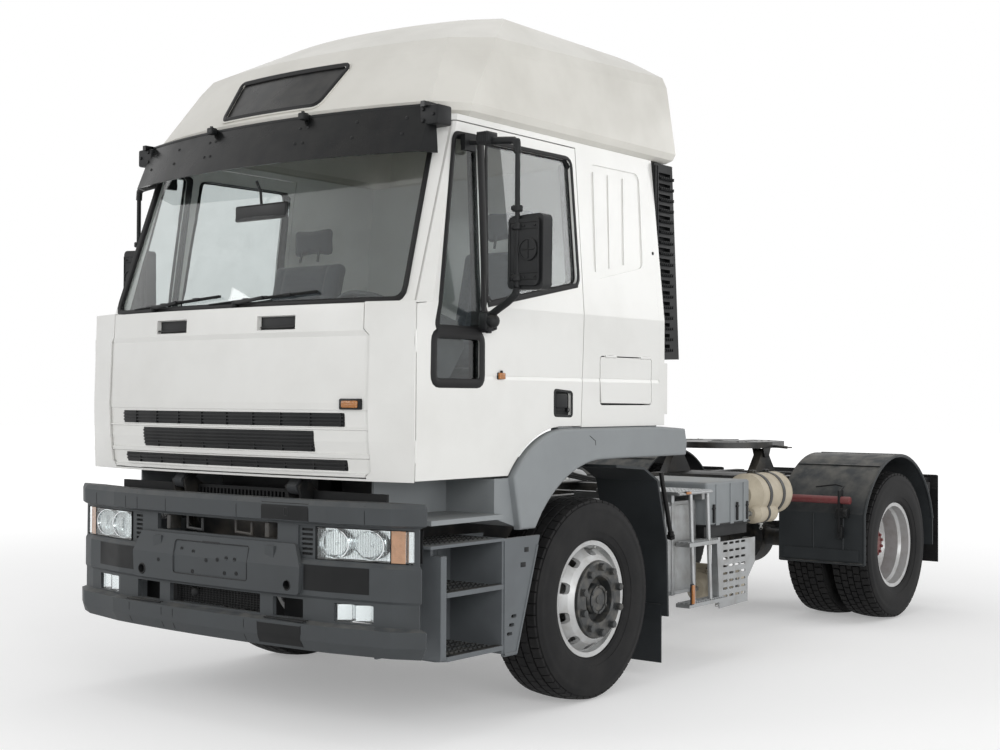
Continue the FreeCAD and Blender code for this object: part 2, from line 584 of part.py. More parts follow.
# Outlines in the side view, as (y, z).
DOOR_TOP_Z = 2842.0
DOOR_PILLAR = (-1307.0, -1011.0)    # y of the door's front edge above the waist, at its foot and its top
DOOR_OUTLINE = [
    (-1376, CAB_FLOOR_Z), (-1373, WAIST_Z - 8), (DOOR_PILLAR[0], WAIST_Z), (DOOR_PILLAR[1], DOOR_TOP_Z),
    (-38, DOOR_TOP_Z), (-98, ARCH_SILL_Z), (-290, ARCH_SILL_Z), (-533, 1325, "arc"), (-700, CAB_FLOOR_Z),
]
MAIN_GLASS = [(-778, 2762), (-95, 2768), (-112, 2130), (-862, 1990)]
QUARTER_GLASS = [(-1016, 2770), (-842, 2774), (-903, 1864), (-1232, 1864)]
LOW_GLASS = [(-1246, 1832), (-912, 1832), (-912, 1616), (-1250, 1616)]
GLASS_CORNERS = ((MAIN_GLASS, 42), (QUARTER_GLASS, 28), (LOW_GLASS, 34))   # opening, corner radius
HANDLE_POCKET = [(-330, 1585), (-185, 1575), (-185, 1458), (-330, 1462)]
HANDLE_DEPTH = 18.0
LOCKER_OUTLINE = [(66, 1511), (66, 1768), (569, 1768), (569, 1511)]
LOCKER_CORNER = 24.0
PRESSED_PANEL = [(80, 2774), (562, 2778), (520, 2256), (44, 2160)]
PRESSED_DEPTH = 7.0
PRESSED_RIBS = [(112, 62), (252, 192), (396, 335)]   # front edge of each rib, at its top and its foot
RIB_WIDTH = 118.0
CREASE_Z = 1640.0
CREASE_DEPTH = 4.0
FLAP_HALF = CAB_HALF - 245
FLAP_FIELD_HALF = CAB_HALF - 217    # half width of the flap's sunk field
FLAP_TOP = WAIST_Z
FLAP_BOTTOM = 1180.0
FIELD_TOP = 1846.0
FIELD_BOTTOM = 1206.0
SIDE_REACH = 300.0             # how far a side cutter reaches in from the skin
DOOR_DEPTH = 62.0              # door thickness, measured across the cab
DOOR_REAR_Y = -90.0            # just behind the foot of the door's rear edge


def eased(points, radius):
    """The same outline with each corner rounded by an arc that touches both of its sides."""
    result = []
    for i, (a, b) in enumerate(points):
        corner = Vector(a, b, 0)
        back = (Vector(*points[i - 1], 0) - corner).normalize()
        ahead = (Vector(*points[(i + 1) % len(points)], 0) - corner).normalize()
        half = math.acos(back.dot(ahead)) / 2
        reach = radius / math.tan(half)
        middle = corner + (back + ahead).normalize() * (radius / math.sin(half) - radius)
        start, end = corner + back * reach, corner + ahead * reach
        result += [(start.x, start.y), (middle.x, middle.y, "arc"), (end.x, end.y)]
    return result


def grown(points, by):
    """Outline moved outwards, or inwards, by an even offset."""
    larger = outline(points, lambda a, b: Vector(a, b, 0)).makeOffset2D(by, 2)
    result = []
    for start, edge in zip(larger.OrderedVertexes, larger.OrderedEdges):
        result.append((start.X, start.Y))
        if isinstance(edge.Curve, Part.Circle):
            middle = edge.valueAt((edge.FirstParameter + edge.LastParameter) / 2)
            result.append((middle.x, middle.y, "arc"))
    return result


def side_cutter(points):
    return prism_x(points, (CAB_HALF - SIDE_REACH, CAB_HALF + 60))


def side_slab(outer, depth):
    """The left side's skin down to a depth measured across the cab."""
    core = outer.copy()
    core.translate(Vector(-depth, 0, 0))
    return outer.cut(core)


WINDSCREEN_FOOT = CAB_HALF - 122    # half widths of the windscreen's opening
WINDSCREEN_HEAD = CAB_HALF - 172
WINDSCREEN_CORNER = 58.0
COWL_DEPTH = 60.0
COWL_INSET = 48.0
COWL_END_Y = -1262.0
HINGE_PIN = 4.0
HINGE_BARREL = 7.0
HINGE_STEP = 34.0              # length of one barrel of a hinge
DOOR_HINGE_HEIGHTS = (1290.0, 1780.0)
LOCKER_HINGE_STATIONS = (150.0, 485.0)


def hinge_barrels(start, axis, on_door):
    """One hinge: the door carries the middle barrel, the cab carries the outer two and the pin."""
    def barrel(step, radius, length=HINGE_STEP - SEAT_GAP):
        return Part.makeCylinder(radius, length, start + axis * (step * HINGE_STEP), axis)
    bore = barrel(-2, HINGE_PIN + SEAT_GAP, 5 * HINGE_STEP)
    if on_door:
        return barrel(0, HINGE_BARREL).cut(bore)
    pin = barrel(-1, HINGE_PIN, 3 * HINGE_STEP - SEAT_GAP)
    return barrel(-1, HINGE_BARREL).fuse([barrel(1, HINGE_BARREL), pin])


def hinge_room(start, axis, on_door):
    """Room that one side of a hinge leaves for the barrels of the other side."""
    room = HINGE_BARREL + PIN_GAP
    steps = (-1, 1) if on_door else (0,)
    rooms = [Part.makeCylinder(room, HINGE_STEP + PIN_GAP,
                               start + axis * (step * HINGE_STEP - PIN_GAP / 2), axis) for step in steps]
    if on_door:
        rooms.append(Part.makeCylinder(HINGE_PIN + SEAT_GAP, 3 * HINGE_STEP,
                                       start - axis * HINGE_STEP, axis))
    return rooms


def door_hinge_starts():
    return [Vector(DOOR_HINGE[0], DOOR_HINGE[1], z) for z in DOOR_HINGE_HEIGHTS]


def locker_hinge_starts():
    return [Vector(LOCKER_HINGE_X, y, LOCKER_HINGE_Z) for y in LOCKER_HINGE_STATIONS]


def door_hinge(on_door):
    return Part.makeCompound([hinge_barrels(start, AXIS_Z, on_door) for start in door_hinge_starts()])


def door_hinge_room(on_door):
    return Part.makeCompound([room for start in door_hinge_starts()
                              for room in hinge_room(start, AXIS_Z, on_door)])


def locker_hinge(on_flap):
    return Part.makeCompound([hinge_barrels(start, AXIS_Y, on_flap) for start in locker_hinge_starts()])


def locker_hinge_room(on_flap):
    return Part.makeCompound([room for start in locker_hinge_starts()
                              for room in hinge_room(start, AXIS_Y, on_flap)])


def windscreen_outline():
    """Opening of the windscreen in the front view, wider at its foot."""
    low, high = WAIST_Z + 12, CAB_TOP_Z - 70
    return [(-WINDSCREEN_FOOT, low), (WINDSCREEN_FOOT, low), (WINDSCREEN_HEAD, high),
            (-WINDSCREEN_HEAD, high)]


def flap_outline():
    """Service flap in the front view: its sunk field is wider than its head and its foot."""
    half, field = FLAP_HALF, FLAP_FIELD_HALF
    right = [(half, FLAP_BOTTOM), (half, FIELD_BOTTOM - 14), (field, FIELD_BOTTOM + 8),
             (field, FIELD_TOP - 22), (half, FIELD_TOP + 8), (half, FLAP_TOP)]
    return right + [(-x, z) for x, z in reversed(right)]


def cowl(gap):
    """Shelf that joins the front skin to the foot of the windscreen's frame."""
    low = WAIST_Z - COWL_DEPTH - gap
    foot = list(CAB_LOWER[-1])
    head = list(CAB_UPPER[0])
    foot[0] = head[0] = low
    rise = Vector(0, 0, COWL_DEPTH + gap)
    outer = Part.Face(cab_wire(foot, COWL_INSET - gap, CAB_REAR_Y)).extrude(rise)
    inner = Part.Face(cab_wire(head, CAB_WALL + gap, CAB_REAR_Y + 200)).extrude(rise)
    return outer.cut(inner).common(box((-CAB_HALF, CAB_HALF), (-1600, COWL_END_Y), (low, WAIST_Z)))


def crease(y):
    """Cutter for the step pressed along the cab's left side."""
    z = CREASE_Z
    return prism_y([(CAB_HALF - CREASE_DEPTH, z + 10), (CAB_HALF + 1, z + 10), (CAB_HALF + 1, z - 9),
                    (CAB_HALF, z - 9)], y)


def pressed_panel():
    """Cutter for the sunk field behind the door, less the flat ribs that stand in it."""
    foot_x, head_x = CAB_UPPER[0][4] - PRESSED_DEPTH, CAB_UPPER[1][4] - PRESSED_DEPTH
    beyond = CAB_HALF + 60
    depth = prism_y([(foot_x, WAIST_Z), (beyond, WAIST_Z), (beyond, CAB_TOP_Z), (head_x, CAB_TOP_Z)],
                    (DOOR_REAR_Y, CAB_REAR_Y))
    field = depth.common(side_cutter(eased(PRESSED_PANEL, 45)))
    (_, _), (_, _), (rear, rear_z), (front, front_z) = PRESSED_PANEL
    fall = (rear_z - front_z) / (rear - front)
    head_z = PRESSED_PANEL[0][1] - 40
    ribs = []
    for head, foot in PRESSED_RIBS:
        foot_z = front_z + fall * (foot - front) + 40
        ribs.append(side_cutter([(head, head_z), (head + RIB_WIDTH, head_z),
                                 (foot + RIB_WIDTH, foot_z + fall * RIB_WIDTH), (foot, foot_z)]))
    return field.cut(ribs)


def make_cab_shell():
    outer, inner = cab_outer(), cab_inner()
    wall = outer.cut(inner)
    door_hole = side_slab(outer, DOOR_DEPTH + RUNNING_GAP).common(side_cutter(DOOR_OUTLINE))
    lean = (DOOR_PILLAR[1] - DOOR_PILLAR[0]) / (DOOR_TOP_Z - WAIST_Z)
    side_zone = prism_x([(DOOR_PILLAR[0], ARCH_SILL_Z), (DOOR_PILLAR[0], WAIST_Z),
                         (DOOR_PILLAR[0] + lean * (CAB_TOP_Z - WAIST_Z), CAB_TOP_Z),
                         (CAB_REAR_Y - CAB_WALL, CAB_TOP_Z), (CAB_REAR_Y - CAB_WALL, ARCH_SILL_Z)],
                        (CAB_HALF - 200, CAB_HALF + 60))
    glass_hole = prism_y(eased(windscreen_outline(), WINDSCREEN_CORNER), (-1600, -900))
    locker_hole = side_cutter(eased(LOCKER_OUTLINE, LOCKER_CORNER))
    side = wall.common(side_zone).cut([side_cutter(DOOR_OUTLINE), locker_hole, glass_hole,
                                       crease((DOOR_REAR_Y - 60, CAB_REAR_Y)), pressed_panel()])
    side = side.cut(locker_hinge_room(False)).fuse(locker_hinge(False))
    save("cab_sides", pair(side))

    rear_zone = box((-CAB_HALF - 10, CAB_HALF + 10), (CAB_REAR_Y - CAB_WALL + SEAT_GAP, CAB_REAR_Y + 10),
                    (ARCH_SILL_Z, CAB_TOP_Z))
    bulge = box((-CAB_HALF + 60, CAB_HALF - 60), (CAB_REAR_Y, CAB_REAR_Y + 150), (ARCH_SILL_Z + 60, 1745))
    bulge = rounded(bulge, 30, along(AXIS_Z))
    save("cab_rear_wall", wall.common(rear_zone).fuse(bulge).removeSplitter())

    front_zone = box((-CAB_HALF - 10, CAB_HALF + 10), (-1600, -900), (CAB_FLOOR_Z, CAB_TOP_Z))
    front = wall.common(front_zone).cut([side_zone, mirrored(side_zone)])
    flap_hole = prism_y(flap_outline()[:6] + [(FLAP_HALF, FLAP_TOP + 1), (-FLAP_HALF, FLAP_TOP + 1)]
                        + flap_outline()[6:], (-1600, -1300))
    scuttle = box((-CAB_HALF + 100, CAB_HALF - 100), (-1395, -1370),
                  (CAB_FLOOR_Z + 75, WAIST_Z - COWL_DEPTH))
    front = front.cut([flap_hole, glass_hole]).fuse([scuttle, cowl(0)])
    front = front.cut([door_hole, mirrored(door_hole)])
    front = front.cut(pair(door_hinge_room(False))).fuse(pair(door_hinge(False)))
    save("cab_front", front.removeSplitter())


def make_cab_floor():
    """Floor pan with the engine tunnel, the raised rear floor over the wheels and the tilt arms."""
    half = CAB_HALF - CAB_WALL - SEAT_GAP
    tunnel_half, tunnel_top, sheet = ENGINE_HALF + 60, ENGINE_TOP_Z + 90, 40
    low, high = CAB_FLOOR_Z + 30, ARCH_SILL_Z
    front, back = -1368.0, CAB_REAR_Y - CAB_WALL
    side = [(-300, high), (back, high), (back, high + sheet), (-320, high + sheet), (-660, low + sheet),
            (front, low + sheet), (front, low), (-680, low)]
    pan = prism_x(side, (-half, half)).common(cab_stack(CAB_LOWER, CAB_WALL + SEAT_GAP, CAB_REAR_Y))
    door_x = CAB_HALF - DOOR_DEPTH - RUNNING_GAP - PANEL_GAP
    pan = pan.cut(pair(box((door_x, CAB_HALF), (front - 10, DOOR_REAR_Y), (low - 10, high + sheet + 10))))
    cover = box((-tunnel_half, tunnel_half), (front, ENGINE_REAR_Y + 60), (low, tunnel_top))
    hollow = box((-tunnel_half + sheet, tunnel_half - sheet), (front - 10, ENGINE_REAR_Y + 60 - sheet),
                 (0, tunnel_top - sheet))
    arms = []
    for side_sign in (-1, 1):
        arm = prism_x([(TILT_PIVOT_Y + 16, low), (TILT_PIVOT_Y - 42, TILT_PIVOT_Z),
                       (TILT_PIVOT_Y, TILT_PIVOT_Z - 42, "arc"), (TILT_PIVOT_Y + 42, TILT_PIVOT_Z),
                       (TILT_PIVOT_Y + 110, low)], (side_sign * 379, side_sign * 439))
        arms.append(arm)
    bores = [rod_x(18 + PIN_GAP, (side_sign * 350, side_sign * 460), TILT_PIVOT_Y, TILT_PIVOT_Z)
             for side_sign in (-1, 1)]
    lip = box((-860, 860), (TILT_PIVOT_Y - 20, front), (low, low + sheet))
    floor = pan.fuse([cover, lip] + arms).cut([hollow] + bores)
    save("cab_floor", floor.removeSplitter())


SKYLIGHT_FOOT = 335.0
SKYLIGHT_HEAD = 385.0
SKYLIGHT_Z = (2966.0, 3180.0)
SKYLIGHT_CORNER = 30.0


def roof_stack(inset):
    wires = []
    for front_z, rear_z, front, arc_x, arc_y, side_x, side_y, rear, roll in ROOF_SECTIONS:
        drop = inset if rear_z == ROOF_TOP_Z else 0
        shrink = inset + roll

        def height(y, a=front_z - drop, b=rear_z - drop, y0=front, y1=rear):
            return a if a == b else a + (b - a) * (y - y0) / (y1 - y0)
        wires.append(plan_wire(front + shrink, arc_x - shrink, arc_y + shrink, side_x - shrink,
                               side_y + shrink * 0.6, rear - shrink, height))
    return Part.makeLoft(wires, True, True)


def skylight(shrink):
    """Cutter for the roof's front light, a trapezoid with rounded corners, wider at its head."""
    foot, head = SKYLIGHT_FOOT - shrink, SKYLIGHT_HEAD - shrink
    low, high = SKYLIGHT_Z[0] + shrink, SKYLIGHT_Z[1] - shrink
    corners = [(-foot, low), (foot, low), (head, high), (-head, high)]
    return prism_y(eased(corners, SKYLIGHT_CORNER - shrink), (-1300, -850))


def make_roof():
    """Moulded high roof: rolled foot, three bands with eased creases, a framed front light, open below."""
    shell = roof_stack(0).cut(roof_stack(ROOF_WALL))
    frame = roof_stack(-6).cut(roof_stack(ROOF_WALL - 10)).common(skylight(-22))
    shell = shell.fuse(frame).cut(skylight(0))
    shell.translate(Vector(0, 0, SEAT_GAP))
    save("cab_roof", shell.removeSplitter())
    pane = roof_stack(4).cut(roof_stack(12)).common(skylight(SEAT_GAP))
    pane.translate(Vector(0, 0, SEAT_GAP))
    save("roof_window", pane)


def make_windscreen():
    pane = cab_stack(CAB_UPPER, 12, CAB_REAR_Y).cut(cab_stack(CAB_UPPER, 20, CAB_REAR_Y))
    zone = prism_y(eased(grown(windscreen_outline(), -SEAT_GAP), WINDSCREEN_CORNER - SEAT_GAP),
                   (-1600, -900))
    save("windscreen", pane.common(zone))


def door_handle():
    """Pocket in the door's skin, and the paddle that stands in it."""
    skin = CAB_HALF
    pocket = prism_x(eased(HANDLE_POCKET, 14), (skin - HANDLE_DEPTH, skin + 60))
    front, rear = HANDLE_POCKET[0][0], HANDLE_POCKET[1][0]
    paddle = prism_x(eased([(front + 10, 1566), (rear - 46, 1562), (rear - 46, 1500),
                            (front + 10, 1500)], 8), (skin - 13, skin - 3))
    stem = prism_x([(front + 20, 1556), (front + 50, 1556), (front + 50, 1510), (front + 20, 1510)],
                   (skin - HANDLE_DEPTH - 1, skin - 12))
    return pocket, paddle.fuse(stem)


def make_doors():
    outer, inner = cab_outer(), cab_inner()
    slab = outer.cut(inner).common(side_slab(outer, DOOR_DEPTH))
    door = slab.common(side_cutter(grown(DOOR_OUTLINE, -PANEL_GAP)))
    pocket, paddle = door_handle()
    door = door.cut([side_cutter(eased(points, corner)) for points, corner in GLASS_CORNERS])
    door = door.cut([crease((LOW_GLASS[1][0] + 34, CAB_REAR_Y)), pocket]).fuse(paddle)
    door = door.cut(door_hinge_room(True)).fuse(door_hinge(True)).removeSplitter()
    pane = cab_stack(CAB_LOWER, 18, CAB_REAR_Y).fuse(cab_stack(CAB_UPPER, 18, CAB_REAR_Y)).cut(
        cab_stack(CAB_LOWER, 24, CAB_REAR_Y).fuse(cab_stack(CAB_UPPER, 24, CAB_REAR_Y)))
    glass = Part.makeCompound([pane.common(side_cutter(eased(grown(points, -SEAT_GAP), corner - SEAT_GAP)))
                               for points, corner in GLASS_CORNERS])
    save("door_left", door)
    save("door_right", mirrored(door))
    save("door_glass_left", glass)
    save("door_glass_right", mirrored(glass))

    flap = outer.common(side_cutter(eased(grown(LOCKER_OUTLINE, -PANEL_GAP), LOCKER_CORNER - PANEL_GAP)))
    flap = flap.cut(inner).common(side_slab(outer, DOOR_DEPTH))
    flap = flap.cut([crease((LOCKER_OUTLINE[0][0], CAB_REAR_Y))])
    flap = flap.cut(locker_hinge_room(True)).fuse(locker_hinge(True)).removeSplitter()
    save("locker_flap_left", flap)
    save("locker_flap_right", mirrored(flap))


GRILLE_SLOTS = [               # half length, low z, high z
    (790, 1412, 1475),
    (610, 1296, 1392),
    (790, 1212, 1262),
]
HANDLE_RECESSES = [(253, 496), (-496, -253)]
FLAP_PROFILE = [               # height, inset of the pressed skin
    (FLAP_BOTTOM, 0), (FIELD_BOTTOM - 8, 0), (FIELD_BOTTOM, 11), (1267, 11), (1271, 5), (1288, 5),
    (1292, 11), (1345, 11), (1396, 11), (1399, 5), (1406, 5), (1409, 11), (1484, 11), (1490, 8), (1520, 8),
    (FIELD_TOP - 24, 8), (FIELD_TOP, 0), (FLAP_TOP, 0),
]
FLAP_SKIN = 30.0
SLOT_CORNER = 7.0
GRIP_Z = (1858, 1925)
BLADE_PITCH = 20.0


def make_front_flap():
    """Service flap: skin pressed in steps, grille slots with blades, two grip recesses."""
    skin = pressed_stack(FLAP_PROFILE, 0, CAB_REAR_Y).cut(cab_stack(CAB_LOWER, FLAP_SKIN, CAB_REAR_Y))
    flap = skin.common(prism_y(grown(flap_outline(), -PANEL_GAP), (-1600, -1380)))
    y = (-1600, -1380)
    slots = [prism_y(eased([(-half, low), (half, low), (half, high), (-half, high)], SLOT_CORNER), y)
             for half, low, high in GRILLE_SLOTS]
    grips = [box(span, y, GRIP_Z) for span in HANDLE_RECESSES]
    flap = flap.cut(slots + grips)
    backs = cab_stack(CAB_LOWER, FLAP_SKIN - 6, CAB_REAR_Y).cut(cab_stack(CAB_LOWER, FLAP_SKIN, CAB_REAR_Y))
    fill = [backs.common(box((-half - 5, half + 5), y, (low - 5, high + 5)))
            for half, low, high in GRILLE_SLOTS]
    fill += [backs.common(box((span[0] - 5, span[1] + 5), y, (GRIP_Z[0] - 5, GRIP_Z[1] + 5)))
             for span in HANDLE_RECESSES]
    blade_zone = cab_stack(CAB_LOWER, 15, CAB_REAR_Y).cut(cab_stack(CAB_LOWER, FLAP_SKIN - 4, CAB_REAR_Y))
    blades = []
    for half, low, high in GRILLE_SLOTS:
        count = int((high - low) / BLADE_PITCH)
        pitch = (high - low) / (count + 1)
        middles = [low + pitch * i for i in range(1, count + 1)]
        blades += [blade_zone.common(box((-half - 2, half + 2), y, (z - 3, z + 3))) for z in middles]
    save("front_flap", flap.fuse(fill + blades).removeSplitter())


ARCH_OUTER_X = CAB_HALF + 60
ARCH_EASE = 14.0               # rounding of the arch panel's outer edges


def make_cab_arches():
    """Wheel arch panel, rear skirt, upper entry step, all carried by the cab."""
    gap = PANEL_GAP
    panel = [(-692, CAB_FLOOR_Z - gap), (-528, 1318, "arc"), (-290, ARCH_SILL_Z - gap),
             (640, ARCH_SILL_Z - gap), (880, ARCH_SILL_Z - 20), (900, 1300), (890, 1232), (40, 1232),
             (-300, 1126, "arc"), (-520, 915), (-640, 915)]
    face = prism_x(panel, (CAB_HALF - 14, ARCH_OUTER_X - 30))
    face = rounded(face, ARCH_EASE, lambda edge: edge.CenterOfMass.x > ARCH_OUTER_X - 31)
    sheet = prism_x([(-462, 985), (-284, 1139, "arc"), (-40, 1228), (400, 1232), (400, 1246), (-40, 1242),
                     (-291, 1151, "arc"), (-474, 994)], (720, CAB_HALF - 10))
    carrier = box((CAB_HALF - 60, CAB_HALF - 14), (-280, 640), (1240, ARCH_SILL_Z - SEAT_GAP))
    tread = box((820, ARCH_OUTER_X - 20), (-1310, -790), (978, 1000))
    back = box((820, 834), (-1310, -790), (978, CAB_FLOOR_Z + 29))
    cheek = prism_x([(-800, 978), (-640, 930), (-640, CAB_FLOOR_Z - gap), (-800, CAB_FLOOR_Z - gap)],
                    (820, CAB_HALF - 10))
    tie = box((820, 1040), (-800, -640), (CAB_FLOOR_Z - gap - 5, CAB_FLOOR_Z + 29))
    side = joined(face, sheet, carrier, tread, back, cheek, tie)
    save("cab_arches", pair(side))


def make_sun_visor():
    """Curved visor over the windscreen, wrapped round to the doors."""
    levels = [(2905, -1262, 1000, -1120, 1092, -1010), (2668, -1375, 1012, -1215, 1104, -1040)]
    wires = [[], []]
    for k, inset in enumerate((0, 10)):
        for z, front, arc_x, arc_y, side_x, side_y in levels:
            wires[k].append(plan_wire(front + inset, arc_x - inset, arc_y + inset, side_x - inset,
                                      side_y, -900, lambda y, z=z: z))
    shell = Part.makeLoft(wires[0], True, True).cut(Part.makeLoft(wires[1], True, True))
    zone = prism_x([(-1500, 2600), (-1140, 2600), (-1105, 2950), (-1500, 2950)], (-1300, 1300))
    stays = [box((x - 12, x + 12), (-1282, -1120), (CAB_TOP_Z + 8, CAB_TOP_Z + 34)) for x in (-330, 330)]
    stays += [box((x - 12, x + 12), (-1180, -1000), (CAB_TOP_Z + 8, CAB_TOP_Z + 34)) for x in (-1000, 1000)]
    visor = shell.common(zone)
    save("sun_visor", joined(visor, *stays).cut(roof_stack(-SEAT_GAP)))


def make_air_intake():
    """Louvred duct on the cab's rear left edge."""
    duct = prism_x([(CAB_REAR_Y + SEAT_GAP, 1770), (CAB_REAR_Y + 270, 1770), (CAB_REAR_Y + 190, 2860),
                    (CAB_REAR_Y + SEAT_GAP, 2860)], (850, 1070))
    slots = [box((1040, 1090), (CAB_REAR_Y + 40, CAB_REAR_Y + 170), (z, z + 22))
             for z in range(1830, 2800, 60)]
    save("air_intake", duct.cut(slots))


WIPER_PIVOTS = [(-620, -1411), (30, -1441)]


def make_wipers():
    arms = []
    for x, y in WIPER_PIVOTS:
        pivot = rod_z(10, x, y, (WAIST_Z + SEAT_GAP, WAIST_Z + 30))
        blade = bar((x - 20, y, WAIST_Z + 22), (x + 520, -1441, WAIST_Z + 40), 7)
        arms.append(joined(pivot, blade))
    save("wipers", *arms)


WHEEL_TILT = math.radians(35)  # steering wheel's plane from level
COLUMN_X, COLUMN_Y, COLUMN_Z = 540.0, -1040.0, 1790.0
COLUMN_FOOT = Vector(COLUMN_X, COLUMN_Y, COLUMN_Z)
COLUMN_LENGTH = 150.0
COLUMN_RADIUS = 22.0
STEERING_AXIS = Vector(0, math.sin(WHEEL_TILT), math.cos(WHEEL_TILT))
STEERING_WHEEL_RADIUS = 225.0


def make_interior():
    half = CAB_HALF - CAB_WALL - 12
    dash = prism_x([(-1368, 1620), (-1368, 1930), (-1250, 1960), (-1010, 1900), (-960, 1780),
                    (-1080, 1620)], (-half, half))
    dash = dash.common(cab_stack(CAB_LOWER, CAB_WALL + SEAT_GAP, CAB_REAR_Y))
    column_room = Part.makeCylinder(COLUMN_RADIUS + PIN_GAP, 400, COLUMN_FOOT, STEERING_AXIS)
    save("dashboard", dash.cut([column_room, cowl(SEAT_GAP)]))
    tunnel_half = ENGINE_HALF + 60
    seats = []
    for side in (-1, 1):
        x0, x1 = side * (tunnel_half + 20), side * (half - 40)
        floor = CAB_FLOOR_Z + 70 + SEAT_GAP
        base = prism_x([(-760, floor), (-662, floor), (-430, floor + 137), (-430, 1565), (-760, 1565)],
                       (x0 + side * 60, x1 - side * 60))
        cushion = rounded(box((x0, x1), (-820, -330), (1560, 1700)), 40, lambda e: True)
        back = prism_x([(-400, 1640), (-260, 1640), (-120, 2360), (-220, 2360)], (x0, x1))
        head = box((min(x0, x1) + 140, max(x0, x1) - 140), (-200, -120), (2355, 2540))
        seats.append(joined(base, cushion, back, head))
    save("seats", *seats)
    bunk_y = (60, CAB_REAR_Y - CAB_WALL - 5)
    base = box((-half, half), bunk_y, (ARCH_SILL_Z + 40 + SEAT_GAP, 1740))
    tunnel = box((-tunnel_half - SEAT_GAP, tunnel_half + SEAT_GAP), (0, ENGINE_REAR_Y + 60 + SEAT_GAP),
                 (1400, ENGINE_TOP_Z + 90 + SEAT_GAP))
    save("bunk_base", base.cut(tunnel))
    save("bunk_mattress", rounded(box((-half + 10, half - 10), (bunk_y[0] + 2, bunk_y[1]),
                                      (1740 + SEAT_GAP, 1880)), 45, lambda e: True))


def make_steering_wheel():
    axis = STEERING_AXIS
    centre = COLUMN_FOOT + axis * COLUMN_LENGTH
    ring = Part.makeTorus(STEERING_WHEEL_RADIUS, 15, centre, axis)
    hub = Part.makeCylinder(55, 40, centre - axis * 40, axis)
    column = Part.makeCylinder(COLUMN_RADIUS, COLUMN_LENGTH - 35, COLUMN_FOOT + axis * SEAT_GAP, axis)
    spokes = []
    side = Vector(1, 0, 0)
    for angle in (0, 90, 180, 270):
        direction = side * math.cos(math.radians(angle)) + axis.cross(side) * math.sin(math.radians(angle))
        spokes.append(Part.makeCylinder(12, STEERING_WHEEL_RADIUS - 4, centre - axis * 15, direction))
    save("steering_wheel", joined(ring, hub, column, *spokes))


MIRROR_TUBE = 12.0


def make_mirrors():
    """Tubular stay clamped to the door at two feet, and a ribbed housing clamped to the stay."""
    pole_x, pole_y = CAB_HALF + 220, -930.0
    top = bar((CAB_HALF - 80, -940, 2740), (pole_x, pole_y, 2720), MIRROR_TUBE)
    pole = bar((pole_x, pole_y, 2720), (pole_x, pole_y, 2020), MIRROR_TUBE)
    low = bar((pole_x, pole_y, 2020), (CAB_HALF - 4, -905, 1900), MIRROR_TUBE)
    balls = [Part.makeSphere(MIRROR_TUBE, Vector(pole_x, pole_y, z)) for z in (2720, 2020)]
    face = [(pole_x - 62, 2044), (pole_x + 138, 2036), (pole_x + 142, 2384), (pole_x - 58, 2376)]
    housing = prism_y(eased(face, 26), (pole_y + 8, pole_y + 78))
    back = prism_y(eased(grown(face, -18), 20), (pole_y - 4, pole_y + 9))
    boss = rod_y(52, pole_x + 66, (pole_y - 10, pole_y), 2220)
    clamps = [rod_z(MIRROR_TUBE + 7, pole_x, pole_y, (z, z + 26)) for z in (2090, 2320, 2396)]
    pads = [box((CAB_HALF - 78, CAB_HALF - 50), (-980, -900), (2700, 2775)),
            box((CAB_HALF - 4, CAB_HALF + 20), (-935, -875), (1850, 1950))]
    stay = joined(top, pole, low, housing, back, boss, *clamps, *balls, *pads)
    stay = stay.cut(cab_outer())
    save("mirror_left", stay)
    save("mirror_right", mirrored(stay))


# ---------------------------------------------------------------- bumper and steps
BUMPER_CORNERS = [(760.0, -1545.0), (1090.0, -1480.0), (1225.0, -1392.0)]   # plan of the left half, x and y
BUMPER_BACK_Y = -1385.0
BUMPER_SKIN = [                # height, inset: lip, low band, middle band, lamp band, top rail
    (BUMPER_BOTTOM_Z, 30), (450, 5), (522, 3), (534, 42), (636, 42), (648, 32), (792, 32), (806, 44),
    (970, 44), (984, 5), (1058, 3), (BUMPER_TOP_Z, 16),
]
BUMPER_HOLLOW = [              # the same for the inner surface, closed above by a ledge
    (BUMPER_BOTTOM_Z - 4, 54), (450, 27), (508, 25), (518, 64), (656, 64), (664, 54), (774, 54), (784, 66),
    (990, 66), (1002, 27), (1056, 25), (1060, 84), (BUMPER_TOP_Z + 4, 84),
]
PANEL_FACE = [(640, 14), (775, 12), (884, 36)]       # height, inset of the raised panel in the middle
PANEL_OUTLINE = [(-548, 876), (548, 876), (596, 775), (588, 648), (-588, 648), (-596, 775)]
PANEL_WALL = 20.0
PLATE_FIELD = ((-262, 262), (690, 846))              # sunk field for the number plate
PLATE_DEPTH = 4.0
TOW_SOCKET_X = 516.0
TOW_SOCKET_Z = 688.0
TOW_SOCKET_RADIUS = 21.0
INTAKE_SLOT = ((-430, 430), (888, 966))
MESH_OPENING = ((-323, 323), (542, 630))
POCKET = ((405, 591), (538, 626))
FOG_OPENING = ((768, 972), (541, 624))
LAMP_OPENING = ((556, 1160), (812, 962))
LOUVRE_X = (540, 652)
WINDOW_CORNER = 4.0
LAMP_INSET = 48.0
LAMPS = [(LAMP_OPENING, LAMP_INSET, 66, 658), (FOG_OPENING, 52, 64, 770)]   # window, inset, seat, inner x
LAMP_BACK = 18.0
LAMP_FLANGE = 12.0


def bumper_wire(inset, z):
    left = [(x - inset * share, y + lean * inset)
            for (x, y), share, lean in zip(BUMPER_CORNERS, (0.3, 0.6, 1.0), (1.0, 1.0, 0.0))]
    end = left[-1][0]
    points = left + [(end, -1330), (-end, -1330)] + [(-x, y) for x, y in reversed(left)]
    return outline(points + [(0, -FRONT_OVERHANG + inset, "arc")], lambda x, y: Vector(x, y, z))


